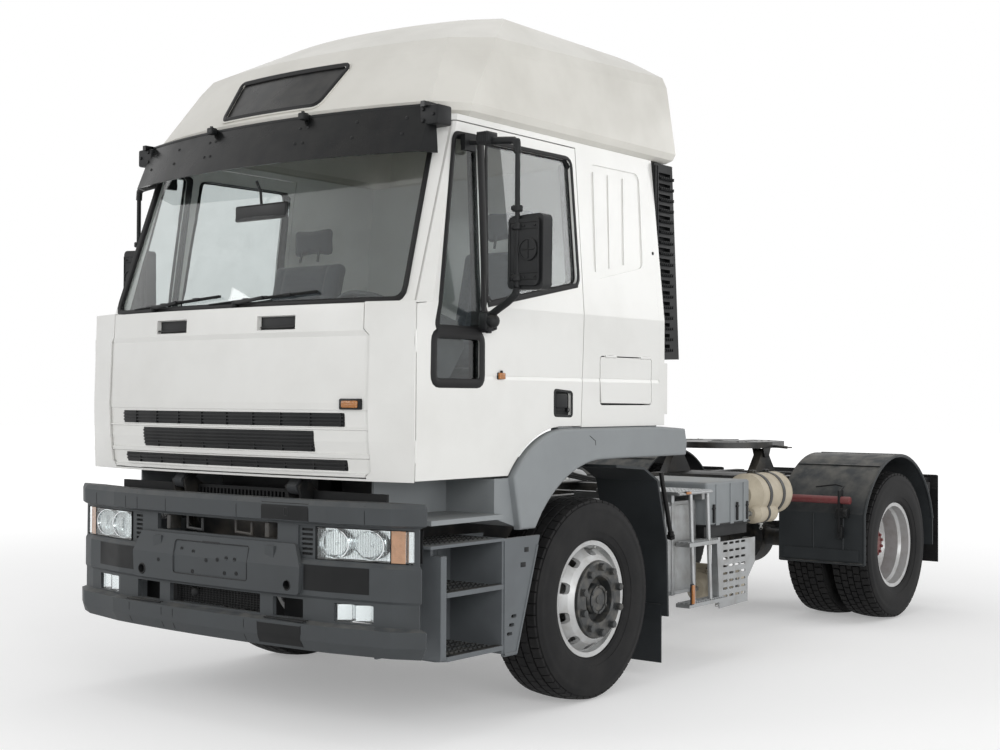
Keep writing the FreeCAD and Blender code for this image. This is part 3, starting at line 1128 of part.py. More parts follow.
def bumper_stack(levels, deeper=0.0):
    return Part.makeLoft([bumper_wire(inset + deeper, z) for z, inset in levels], True, True)


def bumper_layer(outer, inner, x, z):
    """Slice of the bumper's form between two insets, inside a window of the front view."""
    levels = ((BUMPER_BOTTOM_Z, 0), (BUMPER_TOP_Z, 0))
    layer = bumper_stack(levels, outer).cut(bumper_stack(levels, inner))
    return layer.common(box(x, (-1700, BUMPER_BACK_Y - 6), z))


def window_cutter(x, z, y):
    corners = [(x[0], z[0]), (x[1], z[0]), (x[1], z[1]), (x[0], z[1])]
    return prism_y(eased(corners, WINDOW_CORNER), y)


def on_both(window):
    """The window of one side, and the same on the other side."""
    x, z = window
    return (x, z), ((-x[1], -x[0]), z)


def make_bumper():
    y = (-1700, BUMPER_BACK_Y + 10)
    shell = bumper_stack(BUMPER_SKIN).cut(bumper_stack(BUMPER_HOLLOW))
    shell = shell.common(box((-1300, 1300), (-1700, BUMPER_BACK_Y), (0, 2000)))
    shell = shell.cut(box((-1165, 1165), (BUMPER_CORNERS[-1][1], -1300), (0, 2000)))
    windows = [INTAKE_SLOT, MESH_OPENING]
    for window in (POCKET, FOG_OPENING, LAMP_OPENING):
        windows += on_both(window)
    shell = shell.cut([window_cutter(x, z, y) for x, z in windows])

    panel = bumper_stack(PANEL_FACE).cut(bumper_stack(PANEL_FACE, PANEL_WALL))
    panel = panel.common(prism_y(eased(PANEL_OUTLINE, 16), y))
    plate = bumper_stack(PANEL_FACE).cut(bumper_stack(PANEL_FACE, PLATE_DEPTH))
    plate = plate.common(box(PLATE_FIELD[0], y, PLATE_FIELD[1]))
    sockets = [rod_y(TOW_SOCKET_RADIUS, side * TOW_SOCKET_X, y, TOW_SOCKET_Z) for side in (-1, 1)]

    louvres = []
    z = LAMP_OPENING[1]
    for x, _ in on_both((LOUVRE_X, z)):
        strip = bumper_layer(LAMP_INSET + 4, LAMP_INSET + 20, x, (z[0] - 8, z[1] + 8))
        gills = [box((x[0] + 30, x[1] - 14), y, (level, level + 12)) for level in range(828, 950, 22)]
        louvres.append(strip.cut(gills))
    brackets = [box((side * 372, side * RAIL_OUTER_X), (-1550, RAIL_FRONT_Y - SEAT_GAP), (760, 860))
                for side in (-1, 1)]
    whole = shell.cut(sockets).fuse([panel.cut([plate] + sockets)] + louvres + brackets)
    save("front_bumper", whole.removeSplitter())

    lamps = []
    for window, inset, seat, inner_x in LAMPS:
        z = (window[1][0] + 2, window[1][1] - 2)
        for (x, _), side in zip(on_both(((inner_x, window[0][1] - 2), z)), (1, -1)):
            lens = bumper_layer(inset, seat + LAMP_BACK, x, z)
            wider = (x[0], x[1] + LAMP_FLANGE) if side > 0 else (x[0] - LAMP_FLANGE, x[1])
            flange = bumper_layer(seat + SEAT_GAP, seat + LAMP_BACK, wider,
                                  (z[0] - LAMP_FLANGE, z[1] + LAMP_FLANGE))
            lamps.append(joined(lens, flange))
    save("front_lamps", *lamps)


STEP_HEIGHTS = (390.0, 675.0)


def step_tread(inner_x, outer_x, z, reach):
    """Tread whose front corner is cut back, with a raised rim round it."""
    plan = [(inner_x, -805), (inner_x, -1250), (outer_x - reach, -1250), (outer_x, -1250 + reach),
            (outer_x, -805)]
    slab = prism_z(plan, (z - 22, z))
    return slab.cut(prism_z(grown(plan, -8), (z - 5, z + 1)))


def make_step_boxes():
    """Entry steps ahead of the front wheel: a moulded well, two treads, a corner post, arms to the frame."""
    outer_x, inner_x = CAB_HALF + 55, 860.0
    panel = prism_x([(-800, 335), (-703, 335), (-524, 886), (-800, 886)], (outer_x - 20, outer_x))
    panel = panel.cut([prism_x(eased([(-780 + lean, z), (-740 + lean, z), (-740 + lean, z + 16),
                                      (-780 + lean, z + 16)], 6), (outer_x - 30, outer_x + 5))
                       for lean, z in ((0, 430), (16, 470), (32, 510))])
    inner = prism_x([(-1330, 360), (-720, 360), (-560, 880), (-1330, 895)], (inner_x, inner_x + 15))
    post = box((outer_x - 60, outer_x), (-1262, -1222), (378, 840))
    front = box((inner_x, outer_x - 60), (-1262, -1247), (378, 890))
    back = prism_x([(-815, 350), (-800, 350), (-800, 886), (-815, 886)], (inner_x, outer_x - 5))
    treads = [step_tread(inner_x, outer_x, z, 40) for z in STEP_HEIGHTS]
    top = box((inner_x, outer_x), (-1330, -800), (876, 890))
    arms = [box((RAIL_OUTER_X + SEAT_GAP, inner_x + 5), (y, y + 60), (740, 800)) for y in (-1250, -1000)]
    save("step_boxes", pair(joined(panel, inner, post, front, back, top, *treads, *arms)))


def make_front_fenders():
    """Rear half of each front mudguard, fixed to the frame, with its hanging flap."""
    outer = [(150, 1200), (420, 1180), (560, 1107), (658, 763), (674, 356), (660, 356), (644, 760),
             (548, 1100), (414, 1167), (150, 1187)]
    guard = prism_x(outer, (790, 1190))
    flap = box((883, 1150), (655, 663), (100, 352))
    lug = box((883, 1150), (652, 664), (345, 420))
    arm = box((RAIL_OUTER_X + SEAT_GAP, 795), (628, 672), (840, 890))
    brace = prism_x([(600, 840), (672, 840), (672, 890), (600, 890)], (790, 830))
    save("front_fenders", pair(joined(guard, flap, lug, arm, brace)))


def make_cooling_pack():
    """Radiator ahead of the engine, and the meshed panel that closes the gap under the cab."""
    core = box((-345, 345), (-1180, -1090), (600, 1150))
    panel = box((-345, 345), (-1340, -1325), (1000, 1108))
    slots = [box((x, x + 14), (-1350, -1320), (z, z + 30)) for x in range(-330, 330, 26)
             for z in (1022, 1062)]
    web = RAIL_OUTER_X - RAIL_WALL - SEAT_GAP
    stays = [box((side * 300, side * 320), (-1330, -1175), (1030, 1060)) for side in (-1, 1)]
    stays += [box((side * 330, side * web), (-1150, -1120), (760, 880)) for side in (-1, 1)]
    side_panel = box((474, 940), (-1340, -1325), (1000, 1108))
    foot = box((TILT_BRACKET_X + SEAT_GAP, 520), (-1340, -1292), (930, 1004))
    save("cooling_pack", joined(core, panel, *stays).cut(slots), pair(joined(side_panel, foot)))


# ---------------------------------------------------------------- equipment on the frame sides
BATTERY_BOX = ((470, 1085), (1232, 1742))
BATTERY_SPLIT_Z = 800.0


def make_equipment():
    x, y = BATTERY_BOX
    tray = box(x, y, (735, BATTERY_SPLIT_Z)).fuse(box((RAIL_OUTER_X + SEAT_GAP, x[0] + 5), y, (735, 950)))
    batteries = [box((520, 1040), (start, start + 230), (BATTERY_SPLIT_Z, 985)) for start in (1250, 1492)]
    save("battery_box", joined(tray, *batteries))
    cover = box((490, 1105), (1227, 1746), (BATTERY_SPLIT_Z + SEAT_GAP, 1060))
    cover = rounded(cover, 18, lambda e: True)
    cover = cover.cut(box((505, 1090), (1240, 1733), (700, 1045)))
    ribs = [box((1085, 1110), (s, s + 40), (805, 1045)) for s in (1330, 1500, 1660)]
    save("battery_cover", cover.fuse(ribs).removeSplitter())

    silencer = rounded(box((480, 1040), (870, 1215), (430, 960)), 40, along(AXIS_X))
    hangers = box((RAIL_OUTER_X + SEAT_GAP, 485), (900, 1180), (760, 900))
    save("silencer", joined(silencer, hangers))

    tread = box((600, 1150), (830, 1204), (1004, 1024))
    steps = [box((1060, 1150), (960, 1300), (728 - 22, 728)), box((1060, 1150), (960, 1393), (362, 384))]
    stiles = [bar((1130, start, 1006), (1130, start + 40, 372), 12) for start in (1000, 1190)]
    guard = prism_x([(1303, 709), (1766, 709), (1766, 560), (1675, 470), (1675, 330), (1333, 320)],
                    (1125, 1131))
    slots = []
    for z in range(380, 690, 44):
        for start in range(1376, 1640, 72):
            slot = [(start, z), (start + 52, z), (start + 52, z + 14), (start, z + 14)]
            slots.append(prism_x(eased(slot, 6), (1120, 1136)))
    guard = guard.cut(slots)
    lugs = [box((1080, 1127), (s, s + 30), (690, 709)) for s in (1330, 1700)]
    carriers = [box((RAIL_OUTER_X + SEAT_GAP, 1100), (s, s + 30), (964, 1004)) for s in (845, 1180)]
    post = box((1085, 1126), (1320, 1350), (350, 735 - SEAT_GAP))
    save("catwalk", joined(tread, *steps, *stiles, guard, *lugs, *carriers, post))

    tanks = [air_tank(1020, (1790, 2275), 955, 130), air_tank(1080, (1800, 2069), 845, 62),
             air_tank(740, (2100, 2632), 900, 130), air_tank(960, (1360, 1838), 420, 90)]
    straps = [box((RAIL_OUTER_X + SEAT_GAP, 900), (s, s + 40), (940, 970)) for s in (1900, 2150)]
    straps.append(box((RAIL_OUTER_X + SEAT_GAP, 640), (2450, 2490), (880, 920)))
    straps.append(box((RAIL_OUTER_X + SEAT_GAP, 640), (2200, 2240), (880, 920)))
    low = [box((RAIL_OUTER_X + SEAT_GAP, 470), (s, s + 40), (495, 735 - SEAT_GAP)) for s in (1460, 1700)]
    low += [box((460, 970), (s, s + 40), (495, 525)) for s in (1460, 1700)]
    save("air_tanks", joined(*tanks[:3], *straps), joined(tanks[3], *low))

    tank = rounded(box((-1120, -500), (1150, 2350), (430, 1040)), 90, along(AXIS_Y))
    shelf = [box((-500, -RAIL_OUTER_X - SEAT_GAP), (s, s + 60), (500, 960)) for s in (1300, 2140)]
    cap = rod_z(60, -1000, 1400, (1035, 1075))
    save("fuel_tank", joined(tank, cap, *shelf))


def air_tank(x, y, z, radius):
    """Cylinder with dished ends, lying along the frame."""
    body = rod_y(radius, x, (y[0] + radius * 0.4, y[1] - radius * 0.4), z)
    dome = radius * 0.4
    ends = []
    for start, sign in ((y[0] + dome, -1), (y[1] - dome, 1)):
        ends.append(Part.makeCone(radius, radius * 0.55, dome, Vector(x, start, z), Vector(0, sign, 0)))
    return joined(body, *ends)


# ---------------------------------------------------------------- rear end
GUARD_RADIUS = 640.0
GUARD_WALL = 12.0
GUARD_OUTER_X = 1240.0
GUARD_INNER_X = 600.0


def make_rear_mudguards():
    y, r, t = WHEELBASE, GUARD_RADIUS, GUARD_WALL
    front, rear = -590.0, 620.0
    rise_front = AXLE_Z + math.sqrt(r ** 2 - front ** 2)
    rise_rear = AXLE_Z + math.sqrt(r ** 2 - rear ** 2)
    ri = r - t
    in_front = AXLE_Z + math.sqrt(ri ** 2 - (front + t) ** 2)
    in_rear = AXLE_Z + math.sqrt(ri ** 2 - (rear - t) ** 2)
    profile = [(y + front, 420), (y + front, rise_front), (y, AXLE_Z + r, "arc"), (y + rear, rise_rear),
               (y + rear, 476), (y + rear - t, 476), (y + rear - t, in_rear), (y, AXLE_Z + ri, "arc"),
               (y + front + t, in_front), (y + front + t, 420)]
    guard = prism_x(profile, (GUARD_INNER_X, GUARD_OUTER_X))
    bars = [rod_x(24, (RAIL_OUTER_X + SEAT_GAP, GUARD_INNER_X + 40), y + s, z)
            for s, z in ((front + 6, rise_front + 34), (rear - 6, rise_rear + 124))]
    ribs = [box((start, start + 16), (y + rear - 2, y + rear + 8), (490, rise_rear - 12))
            for start in range(int(GUARD_INNER_X) + 50, int(GUARD_OUTER_X) - 40, 75)]
    save("rear_mudguards", pair(joined(guard, *bars, *ribs)))

    end = FRAME_END_Y
    lamps = []
    frame = box((-1180, 1180), (end + SEAT_GAP, end + 50), (860, 930))
    for side in (-1, 1):
        lamps.append(box((side * 620, side * 1150), (end + 45, end + 110), (840, 960)))
        lamps.append(box((side * 620, side * 1210), (end + FLAP_REACH - 8, end + FLAP_REACH), (330, 980)))
        lamps.append(box((side * 700, side * 760), (end + 100, end + 132), (870, 930)))
    save("tail_lamps", joined(frame, *lamps))


def make_fifth_wheel():
    y, z = FIFTH_WHEEL_Y, FIFTH_WHEEL_PIVOT_Z
    base = box((-420, 420), (y - 260, y + 260), (RAIL_TOP + SEAT_GAP, RAIL_TOP + 20))
    stands = []
    for side in (-1, 1):
        stands.append(prism_x([(y - 180, RAIL_TOP + 15), (y + 180, RAIL_TOP + 15), (y + 40, z + 20),
                               (y, z + 38, "arc"), (y - 40, z + 20)], (side * 330, side * 390)))
    bores = [rod_x(22 + PIN_GAP, (side * 320, side * 400), y, z) for side in (-1, 1)]
    save("fifth_wheel_base", base.fuse(stands).cut(bores).removeSplitter())

    r, top, thick = FIFTH_WHEEL_RADIUS, FIFTH_WHEEL_HEIGHT, PLATE_THICKNESS
    throat = KINGPIN_BORE_RADIUS
    plate = prism_z([(-r, y), (0, y - r, "arc"), (r, y), (r - 40, y + 260), (190, y + 430),
                     (60, y + 430), (throat, y + 60), (throat, y), (-throat, y), (-throat, y + 60),
                     (-60, y + 430), (-190, y + 430), (-r + 40, y + 260)], (top - thick, top))
    bore = rod_z(KINGPIN_BORE_RADIUS, 0, y, (top - 100, top + 10))
    lugs, pins = [], []
    for side in (-1, 1):
        for x in (316, 396):
            lugs.append(prism_x([(y - 60, top - thick + 4), (y + 60, top - thick + 4), (y + 30, z - 20),
                                 (y - 30, z - 20)], (side * x, side * (x + 10))))
        pins.append(rod_x(22, (side * 316, side * 406), y, z))
    save("fifth_wheel_plate", plate.cut(bore).fuse(lugs + pins).removeSplitter())


make_wheels()
make_front_axle()
save("knuckle_left", knuckle())
save("knuckle_right", mirrored(knuckle()))
make_springs()
make_engine()
make_rear_axle()
make_frame()
make_cab_shell()
make_cab_floor()
make_roof()
make_windscreen()
make_doors()
make_front_flap()
make_cab_arches()
make_sun_visor()
make_air_intake()
make_wipers()
make_interior()
make_steering_wheel()
make_mirrors()
make_bumper()
make_step_boxes()
make_front_fenders()
make_cooling_pack()
make_equipment()
make_rear_mudguards()
make_fifth_wheel()
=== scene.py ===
import json
import math

import bmesh
import bpy
from bpy.props import FloatProperty, FloatVectorProperty, IntProperty, PointerProperty
from bpy.types import Operator, Panel, PropertyGroup
from mathutils import Matrix, Vector
from mathutils.bvhtree import BVHTree


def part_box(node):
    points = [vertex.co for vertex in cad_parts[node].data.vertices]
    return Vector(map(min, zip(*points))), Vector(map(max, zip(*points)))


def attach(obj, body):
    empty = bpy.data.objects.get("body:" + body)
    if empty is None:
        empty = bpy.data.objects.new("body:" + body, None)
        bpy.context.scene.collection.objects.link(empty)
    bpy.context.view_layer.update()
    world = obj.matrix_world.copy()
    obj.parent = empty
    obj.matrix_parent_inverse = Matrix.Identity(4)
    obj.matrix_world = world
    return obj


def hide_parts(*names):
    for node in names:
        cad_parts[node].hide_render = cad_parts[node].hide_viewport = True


bl_info = {
    "name": "Tractor Unit Finish",
    "version": (1, 0, 0),
    "blender": (4, 5, 0),
    "location": "3D View > Sidebar > Tractor",
    "description": "Tyres, lamps, trim, upholstery and finishes of a two-axle tractor unit",
    "category": "Object",
}

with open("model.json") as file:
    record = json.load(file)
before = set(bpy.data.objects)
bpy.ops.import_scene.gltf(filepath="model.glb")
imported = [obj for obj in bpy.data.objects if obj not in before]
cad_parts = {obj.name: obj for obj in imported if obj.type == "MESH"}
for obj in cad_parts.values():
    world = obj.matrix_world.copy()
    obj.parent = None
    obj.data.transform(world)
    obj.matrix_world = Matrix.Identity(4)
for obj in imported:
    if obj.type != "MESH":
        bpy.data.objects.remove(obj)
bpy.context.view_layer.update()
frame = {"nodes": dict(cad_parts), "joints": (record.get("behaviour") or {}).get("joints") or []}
NODES = frame["nodes"]
MM = 0.001
JOINTS = {joint["name"]: joint for joint in frame["joints"]}
AXLE_Y = JOINTS["front_left_roll"]["pos_m"][1]
AXLE_HEIGHT = JOINTS["front_left_roll"]["pos_m"][2] / MM
FRONT_WHEEL_X = JOINTS["front_left_roll"]["pos_m"][0] / MM
REAR_AXLE_Y = (JOINTS["rear_left_roll"]["pos_m"][1] - AXLE_Y) / MM
TO_ROW = Matrix.Translation((0, AXLE_Y, 0)) @ Matrix.Scale(MM, 4)
X, Y, Z = Vector((1, 0, 0)), Vector((0, 1, 0)), Vector((0, 0, 1))


# ------------------------------------------------------------------ sizes and colours
class TRACTOR_PG_sizes(PropertyGroup):
    """Sizes that change the look without touching the frame, in millimetres."""
    tread_depth: FloatProperty(name="Tread depth", description="Depth of the tyre grooves", default=13.0, min=2,
                               max=20)
    tread_pitches: IntProperty(name="Tread pitches", description="Blocks round each tyre", default=56, min=24,
                               max=90)
    seal_radius: FloatProperty(name="Window seal", description="Radius of the rubber round the windows",
                               default=11.0, min=4, max=20)
    mesh_pitch: FloatProperty(name="Grille mesh pitch", description="Spacing of the bars of the lower grille",
                              default=22.0, min=8, max=60)
    nut_width: FloatProperty(name="Wheel nut", description="Width across flats of a wheel nut", default=33.0,
                             min=20, max=40)
    pad_swell: FloatProperty(name="Seat swell", description="How far the foam of the seats may swell",
                             default=14.0, min=2, max=30)


def colour(name, about, value):
    """A colour setting whose default is written as an sRGB hex value."""
    return FloatVectorProperty(name=name, description=about, subtype="COLOR", size=4, min=0, max=1,
                               default=linear(value))


def linear(value):
    """sRGB hex text as linear red, green, blue and alpha."""
    parts = [int(value[i:i + 2], 16) / 255 for i in (1, 3, 5)]
    return [c / 12.92 if c <= 0.04045 else ((c + 0.055) / 1.055) ** 2.4 for c in parts] + [1.0]


class TRACTOR_PG_colours(PropertyGroup):
    """Main colours of the vehicle."""
    cab: colour("Cab", "Two-pack enamel of the cab", "#E2E2DF")
    roof: colour("High roof", "Gel coat of the roof moulding", "#D6D4CD")
    bumper: colour("Bumper", "Moulded bumper", "#414446")
    arches: colour("Arches", "Moulded wheel arches and skirts", "#84888A")
    tanks: colour("Air tanks", "Primer of the air tanks", "#B5AB97")
    hubs: colour("Rear hubs", "Enamel of the rear hubs", "#6E2F31")
    wheels: colour("Wheels", "Silver enamel of the wheel discs", "#BFC0C0")


# ------------------------------------------------------------------ node trees
def add(tree, kind, settings=None, links=None):
    """Adds one node, sets its values and links its sockets. A key is the name of a setting or socket, or the
    number of a socket; a link starts at a socket, or at a node's first output."""
    made = tree.nodes.new(kind)
    for key, value in (settings or {}).items():
        if isinstance(key, str) and hasattr(made, key):
            setattr(made, key, value)
        else:
            made.inputs[key].default_value = value
    for key, source in (links or {}).items():
        tree.links.new(source.outputs[0] if isinstance(source, bpy.types.Node) else source, made.inputs[key])
    return made


def material(name):
    """Empty procedural material with its tree, and the coordinates that its patterns follow."""
    made = bpy.data.materials.new(name)
    made.use_nodes = True
    tree = made.node_tree
    tree.nodes.clear()
    return made, tree, add(tree, "ShaderNodeTexCoord").outputs["Object"]


def patches(tree, where, size_mm, detail=4.0, low=0.35, high=0.65):
    """Mask of soft patches about size_mm wide, from 0 to 1."""
    noise = add(tree, "ShaderNodeTexNoise", {"Scale": 1 / (size_mm * MM), "Detail": detail, "Roughness": 0.55},
                {"Vector": where})
    mask = add(tree, "ShaderNodeMapRange", {"From Min": low, "From Max": high}, {"Value": noise.outputs["Fac"]})
    return mask.outputs[0]


def shade(colour_value, factor):
    """The same colour, darker or lighter."""
    return [c * factor for c in colour_value[:3]] + [1.0]


def facing_up(tree):
    """Mask of the surfaces that face upwards, where dust settles."""
    normal = add(tree, "ShaderNodeNewGeometry").outputs["Normal"]
    up = add(tree, "ShaderNodeSeparateXYZ", links={"Vector": normal}).outputs["Z"]
    return add(tree, "ShaderNodeMapRange", {"From Min": 0.3, "From Max": 1.0}, {"Value": up}).outputs[0]


def enamel(name, base, rough=0.3, coat=0.35, peel_mm=4.0, peel=0.02, grime_amount=0.12):
    """Sprayed two-pack enamel: a clear gloss over an even colour, with a faint orange peel that breaks up
    reflections, and road film that dulls it low down."""
    made, tree, where = material(name)
    cloudy = add(tree, "ShaderNodeMath", {"operation": "MULTIPLY", 1: grime_amount},
                 {0: patches(tree, where, 420, 5.0, 0.42, 0.75)})
    height = add(tree, "ShaderNodeSeparateXYZ", links={"Vector": where}).outputs["Z"]
    spray = add(tree, "ShaderNodeMapRange", {"From Min": 1.5, "From Max": 0.6, "To Max": grime_amount},
                {"Value": height})
    film = add(tree, "ShaderNodeMath", {"operation": "MAXIMUM"}, {0: cloudy, 1: spray})
    skin = add(tree, "ShaderNodeTexNoise", {"Scale": 1 / (peel_mm * MM), "Detail": 1.0}, {"Vector": where})
    bump = add(tree, "ShaderNodeBump", {"Strength": peel, "Distance": 0.001}, {"Height": skin.outputs["Fac"]})
    dull = add(tree, "ShaderNodeMapRange", {"To Min": rough, "To Max": rough + 0.3}, {"Value": film})
    tone = add(tree, "ShaderNodeMix", {"data_type": "RGBA", 6: list(base), 7: linear("#8B877C")}, {0: film})
    shader = add(tree, "ShaderNodeBsdfPrincipled", {"Coat Weight": coat, "Coat Roughness": 0.08, "IOR": 1.5},
                 {"Base Color": tone.outputs[2], "Roughness": dull, "Normal": bump})
    add(tree, "ShaderNodeOutputMaterial", links={"Surface": shader})
    return made


def moulded(name, base, rough=0.55, grain=0.25, fade=1.25, dusting=0.25):
    """Injection moulded plastic: a leathery grain from the tool, patches bleached by the sun and wiped by
    sleeves, and dust on ledges. The grain is drawn three times coarser than life so that it shows."""
    made, tree, where = material(name)
    worn = patches(tree, where, 260, 3.0)
    faded = add(tree, "ShaderNodeMix", {"data_type": "RGBA", 6: list(base), 7: shade(base, fade)}, {0: worn})
    speckle = add(tree, "ShaderNodeMath", {"operation": "MULTIPLY", 1: dusting}, {0: patches(tree, where, 90)})
    dirt = add(tree, "ShaderNodeMath", {"operation": "MULTIPLY"}, {0: facing_up(tree), 1: speckle})
    tone = add(tree, "ShaderNodeMix", {"data_type": "RGBA", 7: linear("#8F8B82")},
               {0: dirt, 6: faded.outputs[2]})
    pebble = add(tree, "ShaderNodeTexVoronoi", {"Scale": 1 / (1.6 * 3 * MM)}, {"Vector": where})
    bump = add(tree, "ShaderNodeBump", {"Strength": grain, "Distance": 0.0006},
               {"Height": pebble.outputs["Distance"]})
    dull = add(tree, "ShaderNodeMapRange", {"To Min": rough - 0.07, "To Max": rough + 0.1}, {"Value": worn})
    shader = add(tree, "ShaderNodeBsdfPrincipled", {"IOR": 1.46, "Specular IOR Level": 0.28},
                 {"Base Color": tone.outputs[2], "Roughness": dull, "Normal": bump})
    add(tree, "ShaderNodeOutputMaterial", links={"Surface": shader})
    return made


def cast_metal(name, base, rough=0.6, metallic=0.0, grit=0.35, dust="#6E675C", dusting=0.5, spot_mm=60,
               inner=None, inner_radius=0.2, axle_y=0.0, beyond=0.0):
    """Painted, plated or greased metal: a cast or rolled skin that scatters light, with road dust baked on. A
    second enamel may cover what lies near an axle and outboard of a station, as on a wheel's hub."""
    made, tree, where = material(name)
    dirt = add(tree, "ShaderNodeMath", {"operation": "MULTIPLY", 1: dusting},
               {0: patches(tree, where, spot_mm, 6.0, 0.45, 0.7)}).outputs[0]
    sand = add(tree, "ShaderNodeTexNoise", {"Scale": 1 / (2.5 * MM), "Detail": 3.0}, {"Vector": where})
    bump = add(tree, "ShaderNodeBump", {"Strength": grit, "Distance": 0.001}, {"Height": sand.outputs["Fac"]})
    dull = add(tree, "ShaderNodeMapRange", {"To Min": rough, "To Max": min(rough + 0.3, 1.0)}, {"Value": dirt})
    tone = add(tree, "ShaderNodeMix", {"data_type": "RGBA", 6: list(base), 7: linear(dust)}, {0: dirt})
    shader = add(tree, "ShaderNodeBsdfPrincipled", {"Metallic": metallic},
                 {"Base Color": tone.outputs[2], "Roughness": dull, "Normal": bump})
    if inner:
        axis = add(tree, "ShaderNodeMapping", {"Location": (0, -axle_y, -AXLE_HEIGHT * MM)}, {"Vector": where})
        split = add(tree, "ShaderNodeSeparateXYZ", links={"Vector": axis})
        flat = add(tree, "ShaderNodeCombineXYZ", links={"Y": split.outputs["Y"], "Z": split.outputs["Z"]})
        radius = add(tree, "ShaderNodeVectorMath", {"operation": "LENGTH"}, {0: flat})
        near = add(tree, "ShaderNodeMath", {"operation": "LESS_THAN", 1: inner_radius},
                   {0: radius.outputs["Value"]})
        out = add(tree, "ShaderNodeMath", {"operation": "ABSOLUTE"}, {0: split.outputs["X"]})
        proud = add(tree, "ShaderNodeMath", {"operation": "GREATER_THAN", 1: beyond}, {0: out})
        both = add(tree, "ShaderNodeMath", {"operation": "MULTIPLY"}, {0: near, 1: proud})
        hub = add(tree, "ShaderNodeMix", {"data_type": "RGBA", 6: linear(inner), 7: linear(dust)}, {0: dirt})
        enamelled = add(tree, "ShaderNodeBsdfPrincipled", {"Metallic": 0.0},
                        {"Base Color": hub.outputs[2], "Roughness": dull, "Normal": bump})
        shader = add(tree, "ShaderNodeMixShader",
                     links={0: both, 1: shader, 2: enamelled})
    add(tree, "ShaderNodeOutputMaterial", links={"Surface": shader})
    return made


def rubber(name, base="#141415", rough=0.8, bloom="#3A3938", bloom_amount=0.3):
    """Vulcanised rubber: matt black with a grey bloom and dried dust in its pores."""
    made, tree, where = material(name)
    bloomed = add(tree, "ShaderNodeMath", {"operation": "MULTIPLY", 1: bloom_amount},
                  {0: patches(tree, where, 120, 5.0, 0.4, 0.75)}).outputs[0]
    pores = add(tree, "ShaderNodeTexNoise", {"Scale": 1 / (1.8 * MM), "Detail": 3.0}, {"Vector": where})
    bump = add(tree, "ShaderNodeBump", {"Strength": 0.2, "Distance": 0.0008}, {"Height": pores.outputs["Fac"]})
    dull = add(tree, "ShaderNodeMapRange", {"To Min": rough - 0.12, "To Max": rough + 0.1}, {"Value": bloomed})
    tone = add(tree, "ShaderNodeMix", {"data_type": "RGBA", 6: linear(base), 7: linear(bloom)}, {0: bloomed})
    shader = add(tree, "ShaderNodeBsdfPrincipled", {"IOR": 1.5, "Specular IOR Level": 0.22},
                 {"Base Color": tone.outputs[2], "Roughness": dull, "Normal": bump})
    add(tree, "ShaderNodeOutputMaterial", links={"Surface": shader})
    return made


def window_glass(name, tint):
    """Float glass: clear and slightly green-grey, with a sharp reflection and a trace of road film on it. Lamps
    shine through it."""
    made, tree, where = material(name)
    film = add(tree, "ShaderNodeMix", {"data_type": "RGBA", 6: linear(tint), 7: shade(linear(tint), 0.93)},
               {0: patches(tree, where, 200, 4.0, 0.45, 0.8)})
    glass = add(tree, "ShaderNodeBsdfPrincipled", {"Roughness": 0.0, "IOR": 1.45, "Transmission Weight": 1.0},
                {"Base Color": film.outputs[2]})
    clear = add(tree, "ShaderNodeBsdfTransparent", {"Color": linear(tint)})
    path = add(tree, "ShaderNodeLightPath")
    both = add(tree, "ShaderNodeMixShader", links={0: path.outputs["Is Shadow Ray"], 1: glass,
                                                   2: clear})
    add(tree, "ShaderNodeOutputMaterial", links={"Surface": both})
    return made


def lamp_plastic(name, base):
    """Dyed acrylic lens: it glows through its own colour, and the prisms on its back catch the light."""
    made, tree, where = material(name)
    waves = [add(tree, "ShaderNodeTexWave", {"bands_direction": way, "Scale": 1 / (4.0 * MM) / math.tau},
                 {"Vector": where}).outputs["Fac"] for way in ("X", "Z")]
    prisms = add(tree, "ShaderNodeMath", {"operation": "ADD"}, {0: waves[0], 1: waves[1]})
    bump = add(tree, "ShaderNodeBump", {"Strength": 0.5, "Distance": 0.001}, {"Height": prisms})
    tone = add(tree, "ShaderNodeMix", {"data_type": "RGBA", 6: linear(base), 7: shade(linear(base), 0.85)},
               {0: patches(tree, where, 30)})
    shader = add(tree, "ShaderNodeBsdfPrincipled", {"Roughness": 0.15, "IOR": 1.49, "Transmission Weight": 0.3,
                                                    "Coat Weight": 0.6, "Coat Roughness": 0.04},
                 {"Base Color": tone.outputs[2], "Normal": bump})
    add(tree, "ShaderNodeOutputMaterial", links={"Surface": shader})
    return made


